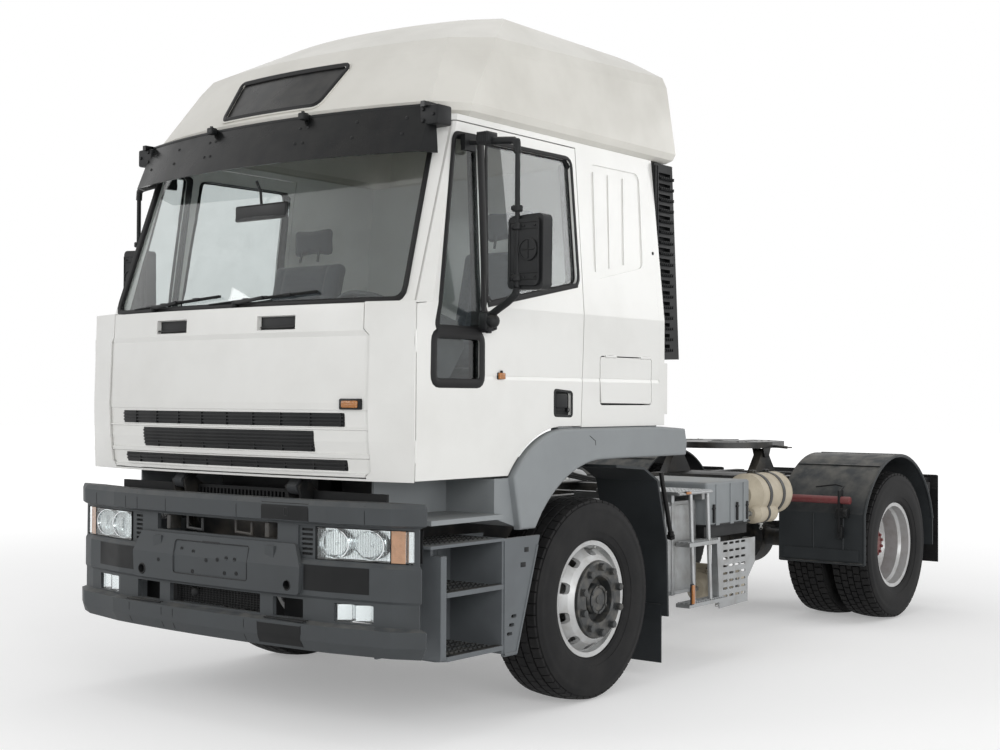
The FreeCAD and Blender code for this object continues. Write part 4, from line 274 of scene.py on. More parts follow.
def woven(name, base, second):
    """Flat woven upholstery: two yarns crossing, soft sheen at grazing angles. The yarns are drawn about
    three times their real width so that the weave shows."""
    made, tree, where = material(name)
    waves = [add(tree, "ShaderNodeTexWave", {"Scale": 1 / (1.2 * 3 * MM) / math.tau, "bands_direction": axis},
                 {"Vector": where}).outputs["Fac"] for axis in ("X", "Y", "Z")]
    across = add(tree, "ShaderNodeMath", {"operation": "ADD"}, {0: waves[1], 1: waves[2]})
    weave = add(tree, "ShaderNodeMath", {"operation": "MULTIPLY"},
                {0: waves[0], 1: across}).outputs[0]
    half = add(tree, "ShaderNodeMath", {"operation": "MULTIPLY", 1: 0.5}, {0: weave})
    yarns = add(tree, "ShaderNodeMix", {"data_type": "RGBA", 6: list(base), 7: list(second)},
                {0: half})
    wear = add(tree, "ShaderNodeMath", {"operation": "MULTIPLY", 1: 0.25}, {0: patches(tree, where, 150)})
    tone = add(tree, "ShaderNodeMix", {"data_type": "RGBA", 7: shade(base, 1.5)},
               {0: wear, 6: yarns.outputs[2]})
    bump = add(tree, "ShaderNodeBump", {"Strength": 0.3, "Distance": 0.0008}, {"Height": weave})
    shader = add(tree, "ShaderNodeBsdfPrincipled",
                 {"Roughness": 0.9, "Sheen Weight": 0.3, "Sheen Roughness": 0.4},
                 {"Base Color": tone.outputs[2], "Normal": bump})
    add(tree, "ShaderNodeOutputMaterial", links={"Surface": shader})
    return made


def bright_coating(name, base, rough):
    """Chromium or silver coating: it shows only what it reflects, with a faint haze of dust."""
    made, tree, where = material(name)
    dull = add(tree, "ShaderNodeMapRange", {"To Min": rough, "To Max": rough + 0.06},
               {"Value": patches(tree, where, 40, 3.0)})
    shader = add(tree, "ShaderNodeBsdfPrincipled", {"Base Color": linear(base), "Metallic": 1.0},
                 {"Roughness": dull})
    add(tree, "ShaderNodeOutputMaterial", links={"Surface": shader})
    return made


# ------------------------------------------------------------------ shapes, drawn in millimetres
def shape():
    return bmesh.new()


def joined(*parts):
    """One mesh out of several."""
    whole = bmesh.new()
    for part in parts:
        mesh = bpy.data.meshes.new("part")
        part.to_mesh(mesh)
        part.free()
        whole.from_mesh(mesh)
        bpy.data.meshes.remove(mesh)
    return whole


def inked(part, slot_index):
    """Gives every face of a part one of its piece's materials."""
    for face in part.faces:
        face.material_index = slot_index
    return part


def moved(part, matrix):
    bmesh.ops.transform(part, matrix=matrix, verts=part.verts)
    return part


def shifted(part, x=0.0, y=0.0, z=0.0):
    return moved(part, Matrix.Translation((x, y, z)))


def turned(part, angle, axis, centre=(0, 0, 0)):
    bmesh.ops.rotate(part, cent=centre, matrix=Matrix.Rotation(angle, 3, axis), verts=part.verts)
    return part


def rounded(part, edge, segments=2, edges=None):
    if edge > 0:
        bmesh.ops.bevel(part, geom=edges or part.edges[:], offset=edge, offset_type="OFFSET", segments=segments,
                        profile=0.5, affect="EDGES", material=-1, clamp_overlap=True)
    return part


def block(x, y, z, edge=0.0, segments=2):
    """Box between pairs of limits, with rounded edges."""
    part = shape()
    size = [abs(b - a) for a, b in (x, y, z)]
    middle = [(a + b) / 2 for a, b in (x, y, z)]
    bmesh.ops.create_cube(part, size=1.0, matrix=Matrix.Translation(middle) @ Matrix.Diagonal((*size, 1)))
    return rounded(part, min(edge, min(size) * 0.49), segments)


def rod(start, end, radius, sides=16, edge=0.0, end_radius=None):
    """Round bar or cone between two points."""
    start, end = Vector(start), Vector(end)
    part = shape()
    along = end - start
    bmesh.ops.create_cone(part, cap_ends=True, segments=sides, radius1=radius,
                          radius2=radius if end_radius is None else end_radius, depth=along.length)
    if edge:
        rims = [e for e in part.edges if len(e.link_faces) == 2 and any(len(f.verts) > 4 for f in e.link_faces)]
        rounded(part, edge, 2, rims)
    turn = along.to_track_quat("Z", "Y").to_matrix().to_4x4()
    return moved(part, Matrix.Translation((start + end) / 2) @ turn)


def nut(start, end, across, edge=1.0):
    """Hexagon nut or bolt head between two points."""
    return rod(start, end, across / 2 / math.cos(math.pi / 6), 6, edge)


def ball(centre, radius, sides=16, squash=(1, 1, 1)):
    part = shape()
    bmesh.ops.create_uvsphere(part, u_segments=sides, v_segments=sides // 2, radius=radius,
                              matrix=Matrix.Translation(centre) @ Matrix.Diagonal((*squash, 1)))
    return part


def tube(points, radius, sides=10, closed_loop=False, up=Z):
    """Round section carried along a run of points and mitred at every corner; a pair of radii flattens it."""
    half, rise = radius if isinstance(radius, tuple) else (radius, radius)
    points = [Vector(p) for p in points]
    count = len(points)
    frames = []
    for i, point in enumerate(points):
        before = points[i - 1] if i or closed_loop else None
        after = points[(i + 1) % count] if i < count - 1 or closed_loop else None
        into = (point - before).normalized() if before is not None else (after - point).normalized()
        out = (after - point).normalized() if after is not None else into
        along = (into + out).normalized()
        side = up.cross(along)
        if side.length < 0.05:
            side = (X if abs(along.x) < 0.9 else Y).cross(along)
        side.normalize()
        stretch = 1 / max(math.cos(into.angle(out) / 2), 0.4)
        across = along.cross(side)
        bend = out - into
        wide = side * (1 + (stretch - 1) * abs(bend.normalized().dot(side)) if bend.length > 1e-6 else 1)
        tall = across * (1 + (stretch - 1) * abs(bend.normalized().dot(across)) if bend.length > 1e-6 else 1)
        frames.append(Matrix((wide, tall, along)).transposed().to_4x4())
        frames[-1].translation = point
    part = shape()
    ring = bmesh.ops.create_circle(part, cap_ends=False, segments=sides, radius=1.0,
                                   matrix=frames[0] @ Matrix.Diagonal((half, rise, 1, 1)))
    edges = list({e for v in ring["verts"] for e in v.link_edges})
    first, current = edges, frames[0]
    for target in frames[1:]:
        made = bmesh.ops.extrude_edge_only(part, edges=edges)["geom"]
        verts = [g for g in made if isinstance(g, bmesh.types.BMVert)]
        edges = [g for g in made if isinstance(g, bmesh.types.BMEdge) and all(v in verts for v in g.verts)]
        bmesh.ops.transform(part, matrix=target @ current.inverted(), verts=verts)
        current = target
    if closed_loop:
        bmesh.ops.bridge_loops(part, edges=first + edges)
    else:
        bmesh.ops.holes_fill(part, edges=part.edges[:], sides=0)
    bmesh.ops.recalc_face_normals(part, faces=part.faces)
    return part


def plate(outline, thickness, edge=0.0, segments=2):
    """Flat plate: the outline is a list of points on one plane, thickened along their normal."""
    part = shape()
    face = part.faces.new([part.verts.new(p) for p in outline])
    face.normal_update()
    push = face.normal * thickness
    made = bmesh.ops.extrude_face_region(part, geom=[face])["geom"]
    bmesh.ops.translate(part, vec=push, verts=[g for g in made if isinstance(g, bmesh.types.BMVert)])
    bmesh.ops.recalc_face_normals(part, faces=part.faces)
    return rounded(part, edge, segments)


def lathe(profile, centre, steps=96, axis=X, closed_ring=True):
    """Ring or disc: points (along the axis, radius) spun round it."""
    part = shape()
    centre = Vector(centre)
    side = Z if abs(axis.dot(Z)) < 0.5 else Y
    verts = [part.verts.new(centre + axis * a + side * r) for a, r in profile]
    pairs = list(zip(verts, verts[1:])) + ([(verts[-1], verts[0])] if closed_ring else [])
    edges = [part.edges.new(pair) for pair in pairs]
    bmesh.ops.spin(part, geom=verts + edges, cent=centre, axis=axis, angle=math.tau, steps=steps,
                   use_merge=True)
    bmesh.ops.remove_doubles(part, verts=part.verts, dist=0.001)
    bmesh.ops.recalc_face_normals(part, faces=part.faces)
    return part


def whole_of(part):
    """All the points, edges and faces of a part, as bmesh operators take them."""
    return part.verts[:] + part.edges[:] + part.faces[:]


def ring_of(part, count, centre, axis=X):
    """Copies of a part spaced evenly round an axis."""
    if count > 1:
        bmesh.ops.spin(part, geom=whole_of(part), cent=centre, axis=axis, angle=math.tau * (count - 1) / count,
                       steps=count - 1, use_duplicate=True)
    return part


def row_of(part, count, step):
    """Copies of a part in a straight row."""
    if count > 1:
        bmesh.ops.spin(part, geom=whole_of(part), cent=(0, 0, 0), axis=(0, 0, 1), dvec=Vector(step), angle=0.0,
                       steps=count - 1, use_duplicate=True)
    return part


def mirrored(part):
    """Adds the other half of the vehicle."""
    bmesh.ops.mirror(part, geom=whole_of(part), axis="X", merge_dist=-1)
    bmesh.ops.recalc_face_normals(part, faces=part.faces)
    return part


def flipped(part):
    """The same part for the other side of the vehicle."""
    moved(part, Matrix.Diagonal((-1, 1, 1, 1)))
    bmesh.ops.reverse_faces(part, faces=part.faces)
    return part


def rounded_outline(points, radius, steps=4):
    """Corner points of a flat outline with each corner turned into a short arc."""
    points = [Vector(p) for p in points]
    out = []
    for i, corner in enumerate(points):
        a = (points[i - 1] - corner)
        b = (points[(i + 1) % len(points)] - corner)
        reach = min(radius, a.length * 0.45, b.length * 0.45)
        p, q = corner + a.normalized() * reach, corner + b.normalized() * reach
        for k in range(steps + 1):
            t = k / steps
            out.append(p.lerp(corner, t).lerp(corner.lerp(q, t), t))
    return out


def divided(points, longest):
    """The same closed outline with no side longer than a length."""
    out = []
    for i, point in enumerate(points):
        after = points[(i + 1) % len(points)]
        parts = max(1, math.ceil((after - point).length / longest))
        out += [point.lerp(after, k / parts) for k in range(parts)]
    return out


SURFACES = {}


def surface(name):
    """Search tree of a CAD node, so that trim can be laid on its skin."""
    if name not in SURFACES:
        mesh = shape()
        mesh.from_mesh(NODES[name].data)
        SURFACES[name] = BVHTree.FromBMesh(mesh)
        mesh.free()
    return SURFACES[name]


def laid(names, point, direction, lift=0.0):
    """Point where a line through a point meets the skin of the named nodes, lifted off it a little."""
    start = TO_ROW @ (Vector(point) - Vector(direction) * 1500)
    best = None
    for name in names:
        hit, _, _, distance = surface(name).ray_cast(start, Vector(direction))
        if hit is not None and (best is None or distance < best[1]):
            best = (hit, distance)
    if best is None:
        raise RuntimeError(f"no skin of {names} at {tuple(point)}")
    return TO_ROW.inverted() @ best[0] - Vector(direction) * lift


def on_side(names, y, z, lift=0.0):
    """Point on the left side of the vehicle."""
    return laid(names, (1200, y, z), -X, lift)


def on_front(names, x, z, lift=0.0):
    """Point on the front of the vehicle."""
    return laid(names, (x, -1500, z), Y, lift)


def finished(part, name, body, materials, angle=35.0):
    """Turns a drawn part into a piece of the vehicle that rides on a body."""
    moved(part, TO_ROW)
    for face in part.faces:
        face.smooth = True
    limit = math.radians(angle)
    for edge in part.edges:
        edge.smooth = not (len(edge.link_faces) == 2 and edge.calc_face_angle(0) > limit)
    mesh = bpy.data.meshes.new(name)
    part.to_mesh(mesh)
    part.free()
    for kind in materials:
        mesh.materials.append(FINISHES[kind])
    made = bpy.data.objects.new(name, mesh)
    bpy.context.scene.collection.objects.link(made)
    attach(made, body)
    return made


def both_sides(part, name, body, materials):
    """Finishes a part drawn for the left and its image on the right; {} in the names stands for the side."""
    image = flipped(part.copy())
    finished(part, name.format("left"), body.format("left"), materials)
    finished(image, name.format("right"), body.format("right"), materials)


FINISHES = {}


def make_finishes(colours):
    """Every finish on the vehicle, by its common name."""
    cab, roof, bumper, arches = (list(c) for c in (colours.cab, colours.roof, colours.bumper, colours.arches))
    made = {
        "cab_enamel": enamel("white_two_pack_enamel", cab),
        "roof_gelcoat": enamel("satin_gel_coat", roof, rough=0.42, coat=0.15, peel_mm=9.0, peel=0.03,
                               grime_amount=0.2),
        "bumper_moulding": moulded("grey_polypropylene", bumper),
        "bumper_unfaded": moulded("dark_grey_polypropylene", linear("#101112"), fade=1.1),
        "arch_moulding": moulded("light_grey_sheet_moulding", arches, rough=0.48, grain=0.1, fade=1.12),
        "step_moulding": moulded("mid_grey_sheet_moulding", linear("#5F6366"), rough=0.5, grain=0.12, fade=1.2,
                                 dusting=0.45),
        "black_moulding": moulded("black_nylon", linear("#161718"), rough=0.5, fade=1.3, dusting=0.2),
        "visor_acrylic": moulded("smoked_acrylic", linear("#0D0E0F"), rough=0.28, grain=0.03, fade=1.25,
                                 dusting=0.15),
        "interior_moulding": moulded("charcoal_soft_touch_vinyl", linear("#3F4143"), rough=0.7, fade=1.15,
                                     dusting=0.1),
        "cover_moulding": moulded("grey_glass_filled_nylon", linear("#7D8183"), rough=0.5, grain=0.12,
                                  dusting=0.45),
        "mudguard_moulding": moulded("slate_polyethylene", linear("#2A2D2F"), rough=0.5, grain=0.12, fade=1.25,
                                     dusting=0.4),
        "chassis_enamel": cast_metal("black_chassis_enamel", linear("#1B1C1D"), rough=0.45, grit=0.1,
                                     dusting=0.35, spot_mm=140),
        "painted_casting": cast_metal("black_painted_casting", linear("#222324"), grit=0.5),
        "greased_casting": cast_metal("greased_cast_steel", linear("#141415"), rough=0.32, grit=0.3,
                                      dusting=0.15),
        "hub_casting": cast_metal("grey_painted_hub", linear("#323435"), rough=0.5, grit=0.3, dusting=0.25),
        "hub_red": cast_metal("red_oxide_enamel", list(colours.hubs), rough=0.5, grit=0.3, dusting=0.2),
        "front_wheel_enamel": cast_metal("silver_wheel_enamel", list(colours.wheels), rough=0.38, metallic=0.35,
                                         grit=0.05, dust="#8C867B", dusting=0.3, spot_mm=50, inner="#2B2D2E",
                                         axle_y=AXLE_Y, beyond=1.1),
        "rear_wheel_enamel": cast_metal("silver_wheel_enamel_red_hub", list(colours.wheels), rough=0.38,
                                        metallic=0.35, grit=0.05, dust="#8C867B", dusting=0.3, spot_mm=50,
                                        inner="#6E2F31", inner_radius=0.224, axle_y=AXLE_Y + REAR_AXLE_Y * MM,
                                        beyond=0.5),
        "plated_steel": cast_metal("zinc_plated_steel", linear("#9A9B99"), rough=0.4, metallic=0.8, grit=0.1,
                                   dusting=0.35, spot_mm=25),
        "rolled_aluminium": cast_metal("mill_finish_aluminium", linear("#A3A5A6"), rough=0.42, metallic=0.75,
                                       grit=0.08, dust="#77736A", dusting=0.4, spot_mm=110),
        "tank_primer": cast_metal("beige_tank_primer", list(colours.tanks), rough=0.5, grit=0.12,
                                  dust="#7F7566", dusting=0.35, spot_mm=80),
        "tyre": rubber("tyre_rubber"),
        "flap": rubber("mud_flap_rubber", "#161617", 0.65, "#3A3837", 0.25),
        "seal": rubber("window_seal_rubber", "#0D0D0E", 0.6, "#2E2E2E", 0.2),
        "window": window_glass("tinted_float_glass", "#EDF1F0"),
        "door_window": window_glass("tinted_toughened_glass", "#D8DDDD"),
        "lens": window_glass("clear_lamp_glass", "#F2F5F5"),
        "amber": lamp_plastic("amber_acrylic", "#D9A882"),
        "amber_lamp": lamp_plastic("deep_amber_acrylic", "#C87A1E"),
        "red": lamp_plastic("red_acrylic", "#A02620"),
        "reflector": bright_coating("chromed_reflector", "#E6E8E9", 0.08),
        "mirror": bright_coating("silvered_glass", "#DDE1E3", 0.02),
        "cloth": woven("grey_woven_wool_blend", linear("#3A3D42"), linear("#5A5E64")),
        "bedding": woven("blue_grey_ticking", linear("#4A505A"), linear("#6A707A")),
    }
    FINISHES.update(made)


NODE_FINISHES = {
    "cab_enamel": ["cab_sides", "cab_rear_wall", "cab_front", "front_flap", "door_left", "door_right",
                   "locker_flap_left", "locker_flap_right"],
    "roof_gelcoat": ["cab_roof"],
    "bumper_moulding": ["front_bumper"],
    "arch_moulding": ["cab_arches"],
    "step_moulding": ["step_boxes"],
    "black_moulding": ["cooling_pack", "air_intake", "wipers", "mirror_left", "mirror_right", "battery_box"],
    "visor_acrylic": ["sun_visor", "roof_window"],
    "interior_moulding": ["cab_floor", "dashboard", "steering_wheel", "bunk_base"],
    "cover_moulding": ["battery_cover"],
    "mudguard_moulding": ["rear_mudguards", "front_fenders"],
    "chassis_enamel": ["chassis_frame", "fifth_wheel_base", "front_springs", "rear_springs", "engine"],
    "painted_casting": ["front_axle", "rear_axle", "knuckle_left", "knuckle_right"],
    "greased_casting": ["fifth_wheel_plate"],
    "front_wheel_enamel": ["front_rim_left", "front_rim_right"],
    "rear_wheel_enamel": ["rear_rims_left", "rear_rims_right"],
    "rolled_aluminium": ["catwalk", "silencer", "fuel_tank"],
    "tank_primer": ["air_tanks"],
    "tyre": ["front_tyre_left", "front_tyre_right", "rear_tyres_left", "rear_tyres_right"],
    "flap": ["tail_lamps"],
    "window": ["windscreen"],
    "door_window": ["door_glass_left", "door_glass_right"],
    "lens": ["front_lamps"],
    "cloth": ["seats"],
    "bedding": ["bunk_mattress"],
}


class TRACTOR_OT_finishes(Operator):
    """Gives every part of the frame its paint, moulding, casting, rubber or glass."""
    bl_idname = "tractor.finishes"
    bl_label = "Finishes"

    def execute(self, context):
        make_finishes(context.scene.tractor_colours)
        for finish, names in NODE_FINISHES.items():
            for name in names:
                NODES[name].data.materials.clear()
                NODES[name].data.materials.append(FINISHES[finish])
        return {"FINISHED"}


# ------------------------------------------------------------------ tyres and wheels
STEER_RIBS = [(-128, -84, 7), (-76, -32, 3), (-24, 24, 3), (32, 76, 3), (84, 128, 7)]
DRIVE_RIBS = [(-128, -78, 12), (-68, -26, 8), (-18, 18, 8), (26, 68, 8), (78, 128, 12)]
TYRE_HALF = 147.5                     # half of the widest section
CROWN_HALF, CROWN_DROP = 131.5, 12    # half of the tread, and how far it drops towards its edge
STUDS, STUD_CIRCLE = 10, 167.5        # wheel studs and the radius they stand on


def tyre(x, y, sizes, ribs):
    """Carcass with ringed walls, and a tread of bevelled blocks."""
    def crown(across):
        return AXLE_HEIGHT - CROWN_DROP * (across / CROWN_HALF) ** 2
    wall = [(99, 286.5), (99, 299), (119, 303), (124, 312), (127, 314), (137, 343), (139, 343), (144.5, 372),
            (147.2, 402), (146, 430), (143.2, 452), (144, 456), (141.5, 470), (134, 491)]
    crown_points = [(a, crown(a) - sizes.tread_depth) for a in (110, 60, 0, -60, -110)]
    profile = wall + crown_points + [(-a, r) for a, r in reversed(wall)]
    centre = Vector((x, y, AXLE_HEIGHT))
    carcass = lathe(profile, centre, 112)
    blocks = []
    pitch = math.tau * AXLE_HEIGHT / sizes.tread_pitches
    for number, (left, right, gap) in enumerate(ribs):
        outline = [(left, crown(left) - sizes.tread_depth - 3), (left, crown(left)), (right, crown(right)),
                   (right, crown(right) - sizes.tread_depth - 3)]
        lug = plate([(x + a, y - (pitch - gap) / 2, AXLE_HEIGHT + r) for a, r in outline], pitch - gap, 2.0, 1)
        centre_y = sum(v.co.y for v in lug.verts) / len(lug.verts)
        shifted(lug, y=y - centre_y)
        turned(lug, math.tau / sizes.tread_pitches * (number % 2) / 2, "X", centre)
        blocks.append(ring_of(lug, sizes.tread_pitches, centre))
    return joined(carcass, *blocks)


class TRACTOR_OT_tyres(Operator):
    """Six tyres: ribbed ones that steer, blocked ones that drive, with ringed walls."""
    bl_idname = "tractor.tyres"
    bl_label = "Tyres"

    def execute(self, context):
        sizes = context.scene.tractor_sizes
        for side, name in ((1, "left"), (-1, "right")):
            front = tyre(side * FRONT_WHEEL_X, 0, sizes, STEER_RIBS)
            made = finished(front, f"tyre_front_{name}", f"front_wheel_{name}", ["tyre"])
            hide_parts(f"front_tyre_{name}")
            low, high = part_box(f"rear_tyres_{name}")
            half = (high.x - low.x) / MM / 2 - TYRE_HALF
            middle = (high.x + low.x) / MM / 2
            rear = joined(*(tyre(middle + offset, REAR_AXLE_Y, sizes, DRIVE_RIBS) for offset in (-half, half)))
            made = finished(rear, f"tyres_rear_{name}", f"rear_wheel_{name}", ["tyre"])
            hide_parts(f"rear_tyres_{name}")
        return {"FINISHED"}


# ------------------------------------------------------------------ trim that follows a skin
FRONT_SKIN = [             # height, station at the middle, then x and station at the side
    (1170, -1470, 902, -1424), (1345, -1512, 905, -1450), (1520, -1520, 905, -1458), (1975, -1500, 905, -1440)]


def front_face(x, z):
    """Station of the cab's front skin, a shallow arc at every height."""
    below = max((row for row in FRONT_SKIN if row[0] <= z), default=FRONT_SKIN[0])
    above = min((row for row in FRONT_SKIN if row[0] > z), default=FRONT_SKIN[-1])
    part = (z - below[0]) / max(above[0] - below[0], 1)
    front, arc_x, arc_y = (below[i] + (above[i] - below[i]) * part for i in (1, 2, 3))
    drop = arc_y - front
    radius = (arc_x ** 2 + drop ** 2) / (2 * drop)
    return front + radius - math.sqrt(radius ** 2 - x ** 2)


def spread(points, by):
    """A closed outline moved outwards by a distance; its points are pairs."""
    points = [Vector(p) for p in points]
    around = sum(a.x * b.y - b.x * a.y for a, b in zip(points, points[1:] + points[:1]))
    sign = 1 if around > 0 else -1
    out = []
    for i, point in enumerate(points):
        into = (point - points[i - 1]).normalized()
        away = (points[(i + 1) % len(points)] - point).normalized()
        first, second = Vector((into.y, -into.x)) * sign, Vector((away.y, -away.x)) * sign
        out.append(point + (first + second) * by / (1 + first.dot(second)))
    return out


def side_band(names, outline, corner, half, rise, out=0.0, inset=0.0):
    """Flattened rubber or plastic band laid round an opening in the cab's side."""
    corners = [Vector((0, p.x, p.y)) for p in spread(outline, out)]
    points = [on_side(names, p.y, p.z, -inset) for p in divided(rounded_outline(corners, corner), 110)]
    return tube(points, (half, rise), 8, True, X)


def front_band(names, outline, corner, half, rise, out=0.0):
    """The same round an opening in the front."""
    corners = [Vector((p.x, 0, p.y)) for p in spread(outline, out)]
    points = [on_front(names, p.x, p.z) for p in divided(rounded_outline(corners, corner), 90)]
    return tube(points, (half, rise), 8, True, -Y)


def strip(x, z, columns, rows, station, thickness):
    """Curved sheet across the front: station gives its place along the vehicle."""
    part = shape()
    place = Matrix.Translation(((x[0] + x[1]) / 2, 0, (z[0] + z[1]) / 2)) @ Matrix.Rotation(math.pi / 2, 4, "X")
    bmesh.ops.create_grid(part, x_segments=columns, y_segments=rows, size=0.5,
                          matrix=place @ Matrix.Diagonal((x[1] - x[0], z[1] - z[0], 1, 1)))
    for vert in part.verts:
        vert.co.y = station(vert.co.x, vert.co.z)
    bmesh.ops.recalc_face_normals(part, faces=part.faces)
    bmesh.ops.solidify(part, geom=part.faces[:], thickness=thickness)
    bmesh.ops.recalc_face_normals(part, faces=part.faces)
    return part


def bumper_face(x, z):
    return on_front(["front_bumper"], x, z).y


def chequer(x, y, z, pitch=36.0):
    """Raised studs of a non-slip tread, turned one way and the other."""
    parts = []
    columns, rows = int((x[1] - x[0]) / pitch), int((y[1] - y[0]) / pitch)
    for turn in (0, 1):
        stud = block((-14, 14), (-4, 4), (z - 1, z + 4), 1.5, 1)
        turned(stud, math.radians(45 - 90 * turn), "Z")
        shifted(stud, x[0] + pitch * (0.5 + turn), y[0] + pitch / 2)
        stud = row_of(stud, (columns + 1 - turn) // 2, (2 * pitch, 0, 0))
        parts.append(row_of(stud, rows, (0, pitch, 0)))
    return joined(*parts)


# ------------------------------------------------------------------ windows
SCREEN = [(-1018, 1987), (1018, 1987), (968, 2802), (-968, 2802)]
MAIN_GLASS = [(-778, 2762), (-95, 2768), (-112, 2130), (-862, 1990)]
QUARTER_GLASS = [(-1016, 2770), (-842, 2774), (-903, 1864), (-1232, 1864)]
LOW_GLASS = [(-1246, 1832), (-912, 1832), (-912, 1616), (-1250, 1616)]
SKYLIGHT = [(-335, 2966), (335, 2966), (385, 3180), (-385, 3180)]
SCREEN_NODES = ["cab_front", "cab_sides", "windscreen", "front_flap", "cab_roof"]


class TRACTOR_OT_glazing(Operator):
    """Rubber round the windscreen, the door windows and the roof window, and the mirror inside."""
    bl_idname = "tractor.glazing"
    bl_label = "Glazing"

    def execute(self, context):
        rubber_half = context.scene.tractor_sizes.seal_radius
        screen = joined(front_band(SCREEN_NODES, SCREEN, 66, rubber_half + 6, 7, 5),
                        front_band(SCREEN_NODES, SCREEN, 50, 6, 9, -10))
        finished(screen, "windscreen_rubber", "cab", ["seal"])
        hatch = front_band(["cab_roof", "roof_window"], SKYLIGHT, 34, 13, 7, 5)
        finished(hatch, "roof_window_rubber", "cab", ["seal"])
        door = ["door_left", "door_glass_left"]
        foot = [on_side(door, y, 1981 + (y + 868) * 0.1867) for y in (-866, -600, -350, -120)]
        post = [on_side(door, y, z) for y, z in ((-892, 1858), (-872, 2150), (-850, 2450), (-828, 2764))]
        bridge = [on_side(door, y, 1848) for y in (-1236, -1080, -918)]
        both_sides(joined(
            side_band(door, MAIN_GLASS, 50, rubber_half, 5, 9), side_band(door, MAIN_GLASS, 40, 5, 6, -4, 2),
            side_band(door, QUARTER_GLASS, 30, rubber_half + 4, 6, 3),
            side_band(door, LOW_GLASS, 40, rubber_half + 11, 7, 4),
            *(side_band(door, hole, 40, 3, 28, -2, 30) for hole in (MAIN_GLASS, QUARTER_GLASS, LOW_GLASS)),
            *(tube(line, (half, rise), 8, False, X) for line, half, rise in
              ((foot, 13, 7), (post, 27, 8), (bridge, 16, 7)))),
            "door_rubber_{}", "{}_door", ["seal"])
        stem = tube([(20, -1296, 2610), (20, -1268, 2560), (20, -1262, 2500)], 7, 8)
        back = block((-165, 205), (-1272, -1246), (2418, 2500), 12, 3)
        face = block((-158, 198), (-1247, -1244), (2425, 2493), 1, 1)
        finished(joined(inked(stem, 0), inked(back, 0), inked(face, 1)), "interior_mirror", "cab",
                 ["black_moulding", "mirror"])
        return {"FINISHED"}


WIPER_PIVOTS = [(-620, -1411), (30, -1441)]


class TRACTOR_OT_wipers(Operator):
    """Two wiper arms with their blades lying along the foot of the windscreen."""
    bl_idname = "tractor.wipers"
    bl_label = "Wipers"

    def execute(self, context):
        parts = []
        for x, y in WIPER_PIVOTS:
            parts.append(rod((x, y, 1976), (x, y, 2004), 15, 16, 3))
            parts.append(rod((x, y, 2004), (x, y, 2012), 9, 12, 2))
            lift = [(x + step, 2008 + step * 0.06) for step in (-205, 60, 330, 505)]
            rubbers = [on_front(["windscreen", "cab_front"], px, pz, 9) for px, pz in lift]
            parts.append(tube(rubbers, (7, 5), 8, False, -Y))
            spine = [p + Vector((0, -11, 3)) for p in rubbers]
            parts.append(tube(spine, (4, 4), 6, False, -Y))
            middle = spine[1].lerp(spine[2], 0.45)
            arm = [Vector((x, y - 6, 2002)), Vector((x + 60, y - 22, 1998)), middle + Vector((0, -12, -2))]
            parts.append(tube(arm, (9, 5), 8, False, -Y))
            for at in (spine[1], middle, spine[2]):
                parts.append(block((at.x - 22, at.x + 22), (at.y - 5, at.y + 6), (at.z - 6, at.z + 7), 3, 2))
        made = finished(joined(*parts), "wiper_arms", "cab", ["black_moulding"])
        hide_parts("wipers")
        return {"FINISHED"}


# ------------------------------------------------------------------ front flap
SLOTS = [(790, 1412, 1475), (610, 1296, 1392), (790, 1212, 1262)]    # half width, foot, head
LOUVRE_STEP = 17


class TRACTOR_OT_grille(Operator):
    """Black louvres in the three openings of the front flap, its two grips and its side marker."""
    bl_idname = "tractor.grille"
    bl_label = "Front grille"

    def execute(self, context):
        parts = []
        for half, low, high in SLOTS:
            parts.append(strip((-half + 2, half - 2), (low + 1, high - 1), 28, 2,
                               lambda x, z: front_face(x, z) + 12.5, 1.5))
            count = round((high - low) / LOUVRE_STEP)
            for k in range(1, count):
                z = low + (high - low) * k / count
                parts.append(strip((-half + 3, half - 3), (z - 3.5, z + 3.5), 28, 1,
                                   lambda x, z: front_face(x, z) + 6, 6))
            for x in range(-half + 120, half, 180):
                y = front_face(x, low) + 3
                parts.append(block((x - 3, x + 3), (y, y + 11), (low + 1, high - 1), 1, 1))
        for x in (253, -496):
            station = front_face(x + 121, 1890)
            parts.append(strip((x + 6, x + 237), (1862, 1921), 8, 2, lambda x, z: front_face(x, z) + 22, 1.5))
            parts.append(tube([(x + 10, station + 12, 1872), (x + 121, station + 11, 1868),
                               (x + 233, station + 13, 1872)], (5, 5), 8, False, -Y))
        finished(joined(*parts), "flap_grille", "service_flap", ["black_moulding"])
        y = front_face(835, 1512)
        base = block((770, 892), (y - 5, y + 20), (1490, 1540), 6, 2)
        lens = block((786, 876), (y - 12, y + 8), (1498, 1531), 6, 3)
        for made in (base, lens):
            turned(made, math.radians(7), "Z", (835, y, 1512))
        finished(joined(inked(base, 0), inked(lens, 1)), "flap_marker", "service_flap",
                 ["black_moulding", "amber_lamp"])
        return {"FINISHED"}


# ------------------------------------------------------------------ bumper and front lamps
def lamp_face(x, z):
    return on_front(["front_lamps"], x, z).y


